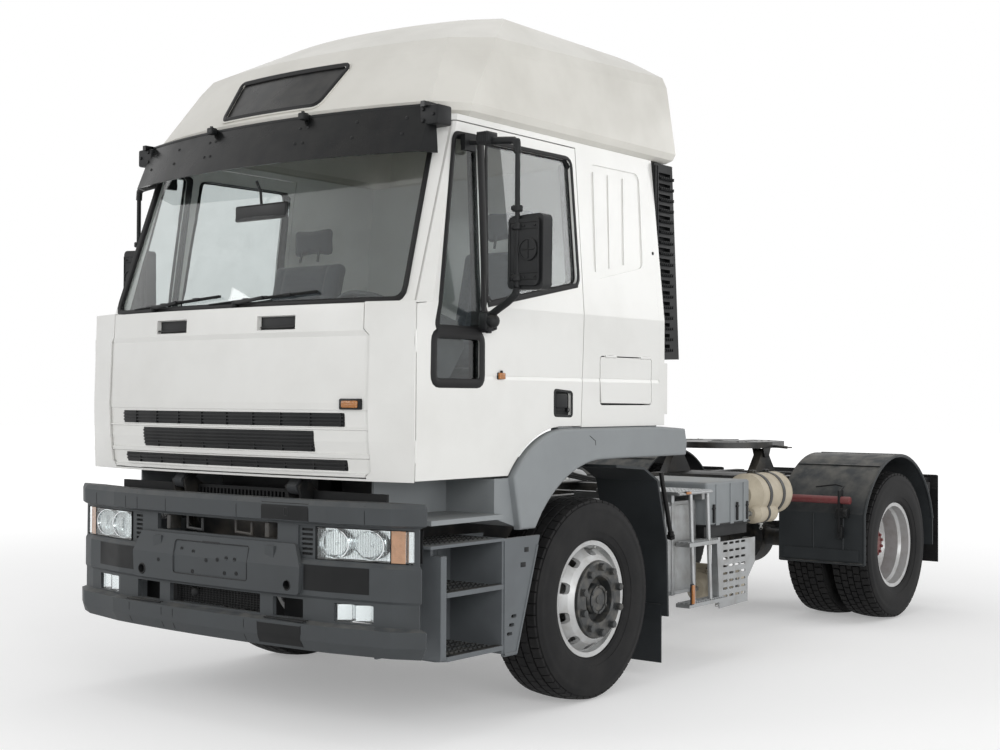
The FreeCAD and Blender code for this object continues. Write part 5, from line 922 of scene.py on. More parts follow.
LAMP_MIDDLE = 887
LAMP_SHEETS = [            # x, z, columns, rows, distance behind the face, thickness, material
    ((661, 1048), (816, 958), 16, 3, 3, 3, 0),     # headlamp glass
    ((1052, 1118), (816, 958), 6, 3, 3, 3, 2),     # indicator
    ((1119, 1154), (816, 958), 4, 3, 3, 3, 0),     # its clear end
    ((663, 1046), (820, 954), 12, 4, 34, 2, 1),    # bright sheets behind them
    ((1056, 1150), (820, 954), 6, 4, 24, 2, 1),
    ((660, 1156), (814, 960), 12, 2, 58, 3, 3),    # back of the case
    ((773, 968), (545, 620), 8, 3, 3, 3, 0),       # fog lamp glass, and the back of its case
    ((773, 968), (543, 622), 8, 2, 30, 2, 3),
]


class TRACTOR_OT_front_lamps(Operator):
    """Headlamps with fluted glass and bright bowls, amber indicators, louvred plates and fog lamps."""
    bl_idname = "tractor.front_lamps"
    bl_label = "Front lamps"

    def execute(self, context):
        parts = [inked(strip(x, z, columns, rows, lambda a, b, back=back: lamp_face(a, b) + back, thick), ink)
                 for x, z, columns, rows, back, thick, ink in LAMP_SHEETS]
        for x in range(676, 1040, 13):
            flute = rod((x, lamp_face(x, 830) + 5, 824), (x, lamp_face(x, 950) + 5, 950), 2.6, 8)
            parts.append(inked(flute, 0))
        for z in range(826, 955, 12):
            line = [(x, lamp_face(x, z) + 7, z) for x in (1056, 1086, 1116)]
            parts.append(inked(tube(line, (3, 2), 6, False, -Y), 2))
        bowl = lathe([(0, 64), (14, 62), (34, 44), (44, 20), (45, 5), (47, 5), (47, 22), (37, 47), (16, 65),
                      (0, 67)], (0, 0, 0), 40, Y)
        for x, wide in ((752, 1.36), (934, 1.34)):
            y = lamp_face(x, LAMP_MIDDLE) + 12
            spread_out = Matrix.Translation((x, y, LAMP_MIDDLE)) @ Matrix.Diagonal((wide, 0.9, 1, 1))
            parts.append(inked(moved(bowl.copy(), spread_out), 1))
            parts.append(inked(rod((x, y + 42, LAMP_MIDDLE), (x, y + 16, LAMP_MIDDLE), 8, 12, 2), 1))
        bowl.free()
        for x in (662, 1050):
            y = lamp_face(x, LAMP_MIDDLE)
            parts.append(inked(block((x - 2, x + 2), (y, y + 58), (815, 959), 1, 1), 3))
        for z in (814, 957):
            line = [(x, lamp_face(x, LAMP_MIDDLE) + 26, z + 1) for x in (662, 830, 1000, 1152)]
            parts.append(inked(tube(line, (26, 2.5), 8, False, Z), 3))
        plate_y = bumper_face(540, LAMP_MIDDLE) + 18
        parts.append(inked(strip((558, 656), (815, 959), 6, 3, lambda x, z: plate_y + (x - 558) * 0.12, 3), 3))
        for x in (580, 606, 632):
            front = plate_y - 5 + (x - 558) * 0.12
            for z in range(830, 950, 24):
                parts.append(inked(block((x - 8, x + 8), (front, plate_y + 6), (z, z + 9), 2, 1), 3))
        facets = strip((776, 965), (548, 617), 36, 3,
                       lambda x, z: lamp_face(x, z) + 6 + 24 * abs(math.sin((x - 776) * math.pi / 94.5)), 2)
        parts.append(inked(facets, 1))
        made = finished(mirrored(joined(*parts)), "front_lamp_sets", "chassis",
                        ["lens", "reflector", "amber", "black_moulding"])
        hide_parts("front_lamps")
        return {"FINISHED"}


class TRACTOR_OT_bumper(Operator):
    """Painted shade lines along the seams, and the fixings, number plate field, lower mesh and tow sockets of
    the bumper.
    """
    bl_idname = "tractor.bumper"
    bl_label = "Bumper trim"

    def execute(self, context):
        pitch = context.scene.tractor_sizes.mesh_pitch
        dark = []
        # Thin black lines laid along the bumper's seams: painted shade standing in for the shadow in grooves
        # that the skin lacks.
        for places, heights in (((-956, -654, -552, -318, 200, 366, 654, 956), (984, 1010, 1040, 1066)),
                                ((-613, -344, -255, 255, 344, 613), (412, 440, 480, 512))):
            for x in places:
                line = [(x, bumper_face(x, z) - 0.2, z) for z in heights]
                dark.append(tube(line, (1.6, 1.2), 6, False, -Y))
        for x, z in ((-380, 742), (-208, 806), (-120, 798), (-20, 764), (60, 772), (120, 782), (178, 780),
                     (-120, 704), (110, 712), (190, 716)):
            y = bumper_face(x, z)
            dark.append(rod((x, y - 0.8, z), (x, y + 1, z), 7, 16, 0.5))
            dark.append(lathe([(-1.5, 8), (-1.5, 10), (1, 10), (1, 8)], (x, y, z), 20, Y))
        frame_line = [(-262, 690), (262, 690), (262, 846), (-262, 846)]
        corners = [Vector((p.x, 0, p.y)) for p in spread(frame_line, 2)]
        edge = [Vector((p.x, bumper_face(p.x, p.z) - 0.5, p.z))
                for p in divided(rounded_outline(corners, 14), 100)]
        dark.append(tube(edge, (2.2, 1.5), 6, True, -Y))
        dark.append(strip((-60, 60), (846, 853), 4, 1, lambda x, z: bumper_face(x, z) - 2.5, 3))
        for x in (-516, 516):
            y = bumper_face(x + 40, 688)
            dark.append(lathe([(-3, 21), (-3, 25), (2, 28), (6, 25), (26, 21)], (x, y, 688), 36, Y))
            dark.append(rod((x, y + 28, 688), (x, y + 25, 688), 21, 24))
        oval = [Vector((x, 0, z)) for x, z in ((509, 1004), (533, 1004), (533, 1042), (509, 1042))]
        ring = [Vector((p.x, bumper_face(p.x, p.z) - 0.5, p.z)) for p in rounded_outline(oval, 12, 6)]
        dark.append(tube(ring, (3, 2), 6, True, -Y))
        back = max(bumper_face(x, 588) for x in (345, -345)) + 42
        mesh = []
        count = int(640 / pitch)
        for k in range(count + 1):
            x = -320 + k * 640 / count
            mesh.append(block((x - 2, x + 2), (back, back + 5), (540, 632), 0.8, 1))
        for z in range(548, 630, int(pitch * 0.5)):
            mesh.append(block((-323, 323), (back + 1, back + 6), (z - 1.5, z + 1.5), 0.6, 1))
        mesh.append(block((-323, 323), (back + 18, back + 21), (538, 634), 1, 1))
        mesh.append(ball((-190, back + 2, 592), 26, 20, (1, 0.5, 1)))
        for side in (-1, 1):
            mesh.append(block((side * 366, side * 642), (back + 70, back + 74), (520, 650), 1, 1))
        finished(joined(*dark, *mesh), "bumper_fixings_and_seam_shade", "chassis", ["black_moulding"])
        patch, rail, lip = (strip(x, z, 12, rows, lambda a, b: bumper_face(a, b) - 1.2, 2.2) for x, z, rows in (
            ((603, 958), (672, 788), 3), ((368, 652), (986, 1064), 5), ((346, 611), (414, 508), 5)))
        finished(joined(mirrored(patch), rail, lip), "bumper_patches", "chassis", ["bumper_unfaded"])
        tread = []
        for side in (-1, 1):
            for k in range(4):
                y = bumper_face(side * 500, 500) + 6 + 16 * k
                tread.append(block((side * 500 - 130, side * 500 + 130), (y, y + 6), (528, 535), 1.5, 1))
        finished(joined(*tread), "bumper_foot_pads", "chassis", ["black_moulding"])
        bracket = [block((x - 14, x + 14), (-1520, -1450), (892, 962), 4, 2) for x in (-352, 352)]
        for x in (-230, 120):
            loop = [(x, -1500, 962), (x, -1500, 905), (x + 110, -1500, 900), (x + 110, -1500, 955)]
            bracket.append(tube(loop, 7, 8, False, Y))
        finished(joined(*bracket), "intake_brackets", "chassis", ["chassis_enamel"])
        return {"FINISHED"}


# ------------------------------------------------------------------ wheels
def nut_ring(node, y, across, tall):
    """Hexagon nuts on the studs of a left wheel, found where the studs stand highest."""
    def face(angle):
        place = (1300, y + STUD_CIRCLE * math.sin(angle), AXLE_HEIGHT + STUD_CIRCLE * math.cos(angle))
        return laid([node], place, -X).x
    step = math.tau / STUDS
    phase = max((0.0, step / 2), key=face)
    seat = face(phase + step / 2)
    top = AXLE_HEIGHT + STUD_CIRCLE
    washer = lathe([(0, 13), (0, 21), (3, 21), (4, 13)], (seat, y, top), 20)
    one = joined(washer, nut((seat + 3, y, top), (seat + tall, y, top), across, 2))
    centre = Vector((seat, y, AXLE_HEIGHT))
    turned(one, -phase, "X", centre)
    return ring_of(one, STUDS, centre)


def bolt_ring(centre, count, radius, start, end, across):
    """Hexagon bolts round the hub's cap."""
    out = Vector((0, 0, radius))
    return ring_of(nut(centre + X * start + out, centre + X * end + out, across), count, centre)


class TRACTOR_OT_wheels(Operator):
    """Nuts, caps, valves and hub bolts of the wheels."""
    bl_idname = "tractor.wheels"
    bl_label = "Wheel fittings"

    def execute(self, context):
        width = context.scene.tractor_sizes.nut_width
        centre = Vector((laid(["front_rim_left"], (1300, 30, AXLE_HEIGHT), -X).x, 0, AXLE_HEIGHT))
        rim = lathe([(-6, 70), (3, 72), (5, 66), (2, 60), (-6, 60)], centre, 48)
        plug = lathe([(-2, 0.5), (4, 0.5), (5, 18), (3, 22), (-2, 22)], centre, 32)
        whole = joined(nut_ring("front_rim_left", 0, width, 26), rim, bolt_ring(centre, 6, 66, -2, 9, 13), plug)
        both_sides(whole, "wheel_nuts_front_{}", "front_wheel_{}", ["hub_casting"])
        valve = joined(rod((1120, 0, AXLE_HEIGHT + 250), (1152, 0, AXLE_HEIGHT + 262), 4.5, 12, 1),
                       rod((1150, 0, AXLE_HEIGHT + 261), (1160, 0, AXLE_HEIGHT + 265), 6, 12, 1))
        both_sides(valve, "valve_front_{}", "front_wheel_{}", ["plated_steel"])
        both_sides(nut_ring("rear_rims_left", REAR_AXLE_Y, width, 28), "wheel_nuts_rear_{}", "rear_wheel_{}",
                   ["hub_red"])
        hub_face = laid(["rear_rims_left"], (1300, REAR_AXLE_Y + 60, AXLE_HEIGHT), -X).x
        bolts = bolt_ring(Vector((hub_face, REAR_AXLE_Y, AXLE_HEIGHT)), 10, 72, -2, 12, 19)
        both_sides(bolts, "hub_bolts_{}", "rear_wheel_{}", ["hub_red"])
        return {"FINISHED"}


# ------------------------------------------------------------------ doors and mirrors
class TRACTOR_OT_doors(Operator):
    """Handles, keyholes and repeaters of the doors."""
    bl_idname = "tractor.doors"
    bl_label = "Door fittings"

    def execute(self, context):
        pocket = [(-330, 1585), (-185, 1575), (-185, 1458), (-330, 1462)]
        skin = on_side(["door_left"], -400, 1520).x
        tray = plate([Vector((skin - 17, p.x, p.y)) for p in pocket_points(pocket, 3)], 2, 0)
        rim = tube([Vector((skin, p.x, p.y)) for p in pocket_points(pocket, -2)], (7, 4), 8, True, X)
        grip = block((skin - 9, skin + 6), (-324, -226), (1497, 1569), 7, 3)
        bars = [block((skin - 14, skin - 2), (-320, -240), (z, z + 8), 2, 1) for z in (1484, 1492)]
        lock = rod((skin - 12, -208, 1488), (skin - 2, -208, 1488), 12, 20, 2)
        slit = block((skin - 3, skin - 0.5), (-209.5, -206.5), (1481, 1495), 0.4, 1)
        both_sides(joined(*(inked(part, 0) for part in (tray, rim, grip, *bars, lock)), inked(slit, 1)),
                   "door_handle_{}", "{}_door", ["black_moulding", "plated_steel"])
        base = block((skin - 2, skin + 5), (-795, -745), (1633, 1666), 4, 2)
        lens = block((skin + 3, skin + 17), (-793, -747), (1634, 1665), 5, 3)
        clip = block((skin + 2, skin + 12), (-775, -763), (1664, 1676), 2, 1)
        both_sides(joined(inked(base, 0), inked(lens, 1), inked(clip, 0)), "repeater_{}", "{}_door",
                   ["black_moulding", "amber_lamp"])
        return {"FINISHED"}


def pocket_points(outline, by):
    """The handle pocket's outline, drawn in by a distance and rounded at its corners."""
    corners = [Vector((p.x, p.y, 0)) for p in spread(outline, -by)]
    return [Vector((p.x, p.y)) for p in rounded_outline(corners, 16, 5)]


class TRACTOR_OT_mirrors(Operator):
    """Silvered glass, ribs, boss, clamps and feet of the door mirrors."""
    bl_idname = "tractor.mirrors"
    bl_label = "Mirrors"

    def execute(self, context):
        pole_x, pole_y = 1360, -930
        face = [Vector((x, pole_y + 79, z))
                for x, z in ((1308, 2046), (1488, 2048), (1492, 2374), (1312, 2366))]
        glass = plate(rounded_outline(face, 20), -2, 0.6, 1)
        parts = [tube(rounded_outline([p - Y for p in face], 22), (5, 4), 8, True, Y)]
        parts += [block((x, x + 5), (pole_y - 9, pole_y), (2078, 2350), 2, 1) for x in (1318, 1480)]
        parts += [block((1330, 1478), (pole_y - 7, pole_y), (z, z + 4), 1.5, 1)
                  for z in (2082, 2112, 2312, 2342)]
        parts.append(lathe([(-2, 44), (-2, 52), (-13, 52), (-14, 44)], (1426, pole_y, 2220), 40, Y))
        parts += [block((1384, 1468), (pole_y - 15, pole_y - 8), (2217, 2223), 1.5, 1),
                  block((1423, 1429), (pole_y - 15, pole_y - 8), (2178, 2262), 1.5, 1)]
        parts += [ball((x, pole_y - 5, z), 6, 12) for x in (1400, 1462) for z in (2096, 2328)]
        collar = [(0, 12), (0, 22), (4, 25), (24, 25), (28, 22), (28, 12)]
        for z in (2078, 2312, 2396):
            parts.append(lathe(collar, (pole_x, pole_y, z), 28, Z))
            parts.append(nut((pole_x - 8, pole_y - 30, z + 14), (pole_x - 8, pole_y - 20, z + 14), 11))
            parts.append(block((pole_x - 20, pole_x + 2), (pole_y - 26, pole_y), (z + 4, z + 24), 3, 1))
        for elbow in (((-190, -8, 2738), (-70, -3, 2729), (-22, -1, 2724), (-4, 0, 2710), (0, 0, 2664)),
                      ((0, 0, 2092), (0, 0, 2046), (-12, 2, 2016), (-60, 6, 1984), (-160, 17, 1934))):
            parts.append(tube([(pole_x + x, pole_y + y, z) for x, y, z in elbow], 17, 14))
        parts.append(block((1148, 1226), (-978, -902), (2722, 2772), 12, 3))
        parts += [block((x, x + 5), (-981, -899), (2719, 2775), 2, 1) for x in range(1158, 1222, 11)]
        parts.append(block((1142, 1196), (-944, -868), (1856, 1946), 14, 3))
        parts += [ball((1204, -912, 1902), 34, 20), rod((1176, -906, 1880), (1176, -906, 1846), 15, 16, 4)]
        parts += [nut((1190, y, z), (1202, y, z), 15) for y in (-932, -882) for z in (1870, 1934)]
        both_sides(joined(inked(glass, 1), *(inked(part, 0) for part in parts)), "mirror_fittings_{}",
                   "{}_door", ["black_moulding", "mirror"])
        return {"FINISHED"}


# ------------------------------------------------------------------ roof and cab
class TRACTOR_OT_roof(Operator):
    """Rivets, stays and end brackets of the visor, the intake's louvres and the plugs in the cab's sides."""
    bl_idname = "tractor.roof"
    bl_label = "Visor and roof fittings"

    def execute(self, context):
        parts = []
        for x in (-900, -640, -352, -302, 308, 356, 640, 900):
            for z in (2760, 2838):
                parts.append(ball(on_front(["sun_visor"], x, z), 9, 14, (1, 0.6, 1)))
        rim = [on_front(["sun_visor"], x, 2893) for x in range(-980, 981, 140)]
        parts.append(tube(rim, (7, 4), 6, False, -Y))
        front = on_front(["sun_visor"], 980, 2840).y
        for side in (-1, 1):
            parts.append(block((side * 966, side * 1076), (front - 7, front + 96), (2798, 2890), 10, 2))
            for x, z in ((988, 2818), (988, 2870), (1050, 2844)):
                parts.append(nut((side * x, front - 6, z), (side * x, front - 15, z), 15))
        for x in (-330, 330):
            parts.append(block((x - 20, x + 20), (-1300, -1262), (2878, 2912), 6, 2))
            parts.append(nut((x, -1284, 2910), (x, -1284, 2920), 15))
        finished(joined(*parts), "visor_fittings", "cab", ["black_moulding"])
        teeth = []
        for z in range(1822, 2800, 60):
            teeth.append(block((1064, 1084), (744, 884), (z, z + 8), 2, 1))
            for y in range(752, 880, 21):
                teeth.append(block((1068, 1088), (y, y + 6), (z - 10, z + 8), 1.5, 1))
        teeth += [block((1062, 1078), (y, y + 12), (1790, 2850), 3, 1) for y in (704, 728)]
        finished(joined(*teeth), "intake_louvres", "cab", ["black_moulding"])
        skin = on_side(["cab_sides"], 635, 2346).x
        plugs = [rod((side * (skin - 1), 635, 2346), (side * (skin + 3), 635, 2346), 9, 20, 1)
                 for side in (-1, 1)]
        finished(joined(*plugs), "side_catches", "cab", ["black_moulding"])
        return {"FINISHED"}


# ------------------------------------------------------------------ steps and wheel arches
class TRACTOR_OT_steps(Operator):
    """Chequered treads and wall pads of the entry steps, black blocks that paint the shade of their slots, and
    the seams of the arches.
    """
    bl_idname = "tractor.steps"
    bl_label = "Steps and arches"

    def execute(self, context):
        studs = []
        for z in (390, 675):
            studs.append(chequer((872, 1176), (-1238, -816), z - 4.5, 34))
            studs.append(block((1156, 1193), (-1200, -812), (z - 1, z + 2), 1, 1))
        studs.append(chequer((872, 1176), (-1310, -816), 889, 34))
        finished(mirrored(joined(*studs)), "step_treads", "chassis", ["black_moulding"])
        wells = [block((874, 879), (y - 30, y + 30), (z, z + 120), 4, 2)
                 for z in (452, 742) for y in (-1180, -1080, -980, -880)]
        wells.append(block((1189, 1197), (-1262, -1222), (384, 838), 3, 1))
        wells.append(tube([(1196, -800, 345), (1196, -708, 345), (1196, -545, 840)], (6, 5), 8, False, X))
        finished(mirrored(joined(*wells)), "step_wells", "chassis", ["step_moulding"])
        # Black blocks on the outer walls of the steps where their slots are: painted shade of the openings.
        marks = []
        for z, depth in ((812, 34), (742, 40)):
            y = -590 - (886 - z) * 0.33
            marks.append(block((1191, 1197), (y - depth, y), (z, z + 24), 2.5, 2))
        finished(mirrored(joined(*marks)), "step_slot_shades", "chassis", ["black_moulding"])
        line = [on_side(["cab_arches"], y, z) for y, z in ((-136, 1393), (-60, 1352), (-16, 1329), (-13, 1306))]
        seam = tube(line, (2, 1.2), 6, False, X)
        finished(mirrored(seam), "arch_seams", "cab", ["black_moulding"])
        return {"FINISHED"}


# ------------------------------------------------------------------ equipment on the frame sides
AIR_TANKS = [              # x, front end, rear end, height, radius
    (1020, 1790, 2275, 955, 130), (1080, 1800, 2069, 845, 62), (740, 2100, 2632, 900, 130),
    (960, 1360, 1838, 420, 90)]


def strap(x, y, z, radius, wide):
    """Steel band round a tank with its tightening bolt."""
    half, inner, outer = wide / 2, radius + 0.5, radius + 3.5
    band = lathe([(-half, inner), (-half, outer), (half, outer), (half, inner)], (x, y, z), 64, Y)
    lug = block((x - 12, x + 12), (y - half, y + half), (z + radius, z + radius + 20), 3, 1)
    bolt = nut((x - 22, y, z + radius + 12), (x + 22, y, z + radius + 12), 13)
    return joined(band, lug, bolt)


class TRACTOR_OT_tanks(Operator):
    """Straps, ports, drain valves and seams of the air tanks, the fuel tank's straps and filler cap."""
    bl_idname = "tractor.tanks"
    bl_label = "Tank fittings"

    def execute(self, context):
        straps, brass, welds = [], [], []
        for x, y0, y1, z, radius in AIR_TANKS:
            dome, middle, foot, large = radius * 0.4, (y0 + y1) / 2, z - radius, radius > 80
            for y in (y0 + dome + 4, y1 - dome - 4):
                bead = [(-5, radius - 2), (-3, radius + 2), (3, radius + 2), (5, radius - 2)]
                welds.append(lathe(bead, (x, y, z), 64, Y))
            for end, sign in ((y0, -1), (y1, 1)):
                brass.append(nut((x, end - sign * 2, z), (x, end + sign * 16, z), 30, 2))
                brass.append(rod((x, end + sign * 14, z), (x, end + sign * 30, z), 10, 16, 2))
            brass.append(nut((x, middle, foot + 2), (x, middle, foot - 14), 24, 2))
            brass.append(rod((x, middle, foot - 12), (x, middle, foot - 34), 6, 12, 1))
            brass.append(lathe([(0, 9), (0, 12), (3, 12), (3, 9)], (x, middle, foot - 34), 20, Y))
            for y in (middle - 90, middle + 80) if large else (middle,):
                straps.append(strap(x, y, z, radius, 34 if large else 24))
        finished(joined(*welds), "tank_welds", "chassis", ["tank_primer"])
        finished(joined(*straps), "tank_straps", "chassis", ["chassis_enamel"])
        finished(joined(*brass), "tank_valves", "chassis", ["plated_steel"])
        bands = []
        for y in (1400, 1750, 2100):
            outline = [Vector((x, y, z)) for x, z in ((-1120, 430), (-500, 430), (-500, 1040), (-1120, 1040))]
            bands.append(tube(rounded_outline(outline, 88, 6), (4, 26), 8, True, Y))
        cap = [(0, 0.5), (30, 0.5), (32, 52), (28, 62), (2, 62), (0, 58)]
        bands.append(lathe(cap, (-1000, 1400, 1076), 40, Z))
        rib = block((-1004, -996), (1458, 1466), (1080, 1103), 2, 1)
        bands.append(ring_of(rib, 12, Vector((-1000, 1400, 1090)), Z))
        finished(joined(*bands), "fuel_tank_straps", "chassis", ["plated_steel"])
        return {"FINISHED"}


class TRACTOR_OT_equipment(Operator):
    """Ladder treads, side markers, battery cover latches, silencer seams and air hoses."""
    bl_idname = "tractor.equipment"
    bl_label = "Side equipment"

    def execute(self, context):
        studs = [chequer((606, 1146), (836, 1200), 1023, 38)]
        for z, end in ((728, 1300), (384, 1393)):
            for x in (1068, 1096, 1124):
                studs.append(block((x, x + 12), (968, end - 8), (z - 1, z + 6), 2, 1))
            for y in range(975, end - 10, 26):
                studs.append(block((1062, 1148), (y, y + 5), (z - 1, z + 5), 1.5, 1))
        studs.append(tube([(1152, 832, 1012), (1152, 1202, 1012)], (6, 10), 8, False, X))
        finished(joined(*studs), "ladder_treads", "chassis", ["rolled_aluminium"])
        marks = []
        for side in (-1, 1):
            for x0, x1, y, z, edge, segments, ink in (
                    (1150, 1158, (964, 1000), (380, 500), 3, 1, 0),
                    (1156, 1168, (968, 996), (386, 494), 5, 3, 1),
                    (1150, 1158, (900, 960), (1006, 1026), 3, 1, 0),
                    (1156, 1166, (904, 956), (1008, 1024), 4, 2, 1)):
                marks.append(inked(block((side * x0, side * x1), y, z, edge, segments), ink))
        finished(joined(*marks), "side_markers", "chassis", ["black_moulding", "amber_lamp"])
        latches = []
        for y in (1300, 1580, 1700):
            latches.append(block((1108, 1118), (y - 9, y + 9), (820, 930), 4, 2))
            latches.append(rod((1112, y - 14, 905), (1112, y + 14, 905), 6, 12, 1))
        for z in (850, 905, 960):
            latches.append(block((498, 1098), (1744, 1750), (z, z + 8), 2, 1))
        latches.append(block((488, 1109), (1223, 1750), (800, 812), 4, 2))
        finished(joined(*latches), "battery_cover_latches", "battery_lid", ["black_moulding"])
        shell = [block((x, x + 14), (866, 1219), (470, 925), 5, 2) for x in (560, 700, 840, 980)]
        shell.append(block((1036, 1046), (884, 1200), (450, 940), 6, 2))
        for y in (930, 1150):
            shell.append(block((1040, 1052), (y, y + 36), (428, 962), 4, 2))
        finished(joined(*shell), "silencer_seams", "chassis", ["rolled_aluminium"])
        hose = tube([(1120, 700, 1140), (1126, 712, 1060), (1130, 740, 960), (1134, 760, 860),
                     (1128, 790, 800)], 13, 12)
        fittings = [rod((1128, 790, 806), (1124, 800, 776), 18, 16, 3),
                    nut((1126, 795, 784), (1122, 801, 770), 44, 2)]
        coils = []
        for k, x in enumerate((-190, 0, 190)):
            lead = [(x, 760 + 10 * k, 1010), (x, 790, 1120), (x * 0.8, 900, 1170), (x * 0.5, 1100, 1120),
                    (x * 0.4, 1400, 1060), (x * 0.4, 1700, 1010)]
            coils.append(tube(lead, 9, 10))
        finished(joined(hose, *fittings, *coils), "air_hoses", "chassis", ["seal"])
        bolts = [nut((429, y, z), (441, y, z), 19, 1.5) for z in (790, 920)
                 for y in (*range(-1200, -950, 60), *range(700, 860, 50), *range(1900, 4300, 150))]
        finished(mirrored(joined(*bolts)), "frame_bolts", "chassis", ["chassis_enamel"])
        return {"FINISHED"}


# ------------------------------------------------------------------ rear end
GUARD_RADIUS = 640


def on_guard(x, degrees, lift):
    """Point over a rear wheel, on the mudguard's arc or off it."""
    angle, reach = math.radians(degrees), GUARD_RADIUS + lift
    return Vector((x, REAR_AXLE_Y + reach * math.sin(angle), AXLE_HEIGHT + reach * math.cos(angle)))


class TRACTOR_OT_rear(Operator):
    """Rolled rims and ribs of the rear mudguards, rear lamps, the coupling's fittings and guard brackets."""
    bl_idname = "tractor.rear"
    bl_label = "Rear end"

    def execute(self, context):
        rims, dark, lamps = [], [], []
        front = REAR_AXLE_Y - 586
        arc = [on_guard(1236, -67 + 143 * k / 24, -6) for k in range(25)]
        arc = [Vector((1236, front, 424))] + [p for p in arc if p.y > front + 2]
        rims.append(tube(arc, (12, 10), 10, False, X))
        rims.append(tube([(612, front - 2, 426), (1236, front - 2, 426)], (10, 9), 10, False, Z))
        rims.append(strip((640, 1200), (444, 520), 4, 1, lambda x, z: front - 8, 6))
        for x in (860, 1080):
            rims.append(block((x, x + 10), (front - 12, front), (440, 760), 4, 1))
        for degrees in (-28, 6, 40):
            rims.append(tube([on_guard(x, degrees, 3) for x in (610, 900, 1225)], (9, 4), 8, False, Z))
        finished(mirrored(joined(*rims)), "mudguard_rims", "chassis", ["mudguard_moulding"])
        bar_y, bar_z = REAR_AXLE_Y - 584, AXLE_HEIGHT + math.sqrt(GUARD_RADIUS ** 2 - 590 ** 2) + 34
        bar = rod((640, bar_y - 34, bar_z + 60), (1150, bar_y - 34, bar_z + 60), 26, 24, 4)
        finished(mirrored(bar), "guard_bars", "chassis", ["hub_red"])
        dark.append(block((1070, 1086), (bar_y - 66, bar_y - 2), (bar_z - 150, bar_z + 130), 6, 2))
        dark.append(block((1050, 1120), (bar_y - 62, bar_y - 26), (bar_z - 60, bar_z + 8), 10, 3))
        dark.append(rod((1110, bar_y - 44, bar_z - 26), (1140, bar_y - 44, bar_z - 26), 34, 20, 5))
        dark.append(block((1060, 1100), (bar_y - 58, bar_y - 20), (bar_z - 200, bar_z - 120), 8, 2))
        dark.append(tube([(1078, bar_y - 40, bar_z + 120), (1076, bar_y + 20, bar_z + 150),
                          (1000, bar_y + 60, bar_z + 160), (860, bar_y + 40, bar_z + 140)], 6, 8))
        for z in (bar_z - 120, bar_z - 30, bar_z + 60):
            dark.append(nut((1084, bar_y - 44, z), (1096, bar_y - 44, z), 17))
        finished(mirrored(joined(*dark)), "guard_brackets", "chassis", ["black_moulding"])
        back = REAR_AXLE_Y + 662
        for side in (-1, 1):
            lamps.append(inked(block((side * 640, side * 1130), (back + 108, back + 116), (856, 944), 8, 2), 0))
            for x, ink in ((700, 1), (800, 1), (900, 3), (1000, 2), (1085, 2)):
                lamp = block((side * (x - 44), side * (x + 44)), (back + 112, back + 124), (866, 934), 6, 3)
                lamps.append(inked(lamp, ink))
            for z in range(396, 900, 120):
                rib = block((side * 640, side * 1196), (back + 126, back + 131), (z, z + 10), 2, 1)
                lamps.append(inked(rib, 0))
            lamps.append(inked(block((side * 630, side * 1202), (back + 124, back + 139), (966, 984), 3, 1), 0))
        finished(joined(*lamps), "rear_lamps", "chassis", ["flap", "red", "amber_lamp", "lens"])
        plate_frame = joined(block((-270, 270), (back + 50, back + 56), (870, 990), 8, 2),
                             block((-180, 180), (back + 50, back + 68), (985, 1002), 4, 1))
        finished(plate_frame, "rear_plate_holder", "chassis", ["black_moulding"])
        jaw_y = REAR_AXLE_Y - 400
        coupling = [lathe([(0, 30), (0, 44), (5, 46), (7, 40), (7, 30)], (0, jaw_y, 1238), 40, Z)]
        for side in (-1, 1):
            for y in (-240, -120, 120, 230):
                coupling.append(ball((side * 300, jaw_y + y, 1240), 11, 12, (1, 1, 0.4)))
            groove = [(side * x, jaw_y + y, 1242) for x, y in ((90, -300), (200, -200), (260, 0), (230, 180))]
            coupling.append(tube(groove, (5, 2), 6, False, Z))
        finished(joined(*coupling), "coupling_fittings", "coupling", ["greased_casting"])
        pull = [(300, jaw_y + 40, 1206), (470, jaw_y + 60, 1204), (540, jaw_y + 50, 1200)]
        handle = joined(tube(pull, 10, 10),
                        lathe([(-4, 10), (-4, 26), (4, 26), (4, 10)], (552, jaw_y + 48, 1200), 24, Z))
        finished(handle, "coupling_handle", "coupling", ["chassis_enamel"])
        return {"FINISHED"}


# ------------------------------------------------------------------ inside the cab
SEAT_X = (410, 1033)
SEAT_LEAN = math.atan2(180, 720)


CHANNEL_WIDTH, CHANNEL_DEPTH, CHANNEL_FADE = 9, 9, 60    # sewn channels, and how they fade towards the ends
FOAM_FRAMES = 20


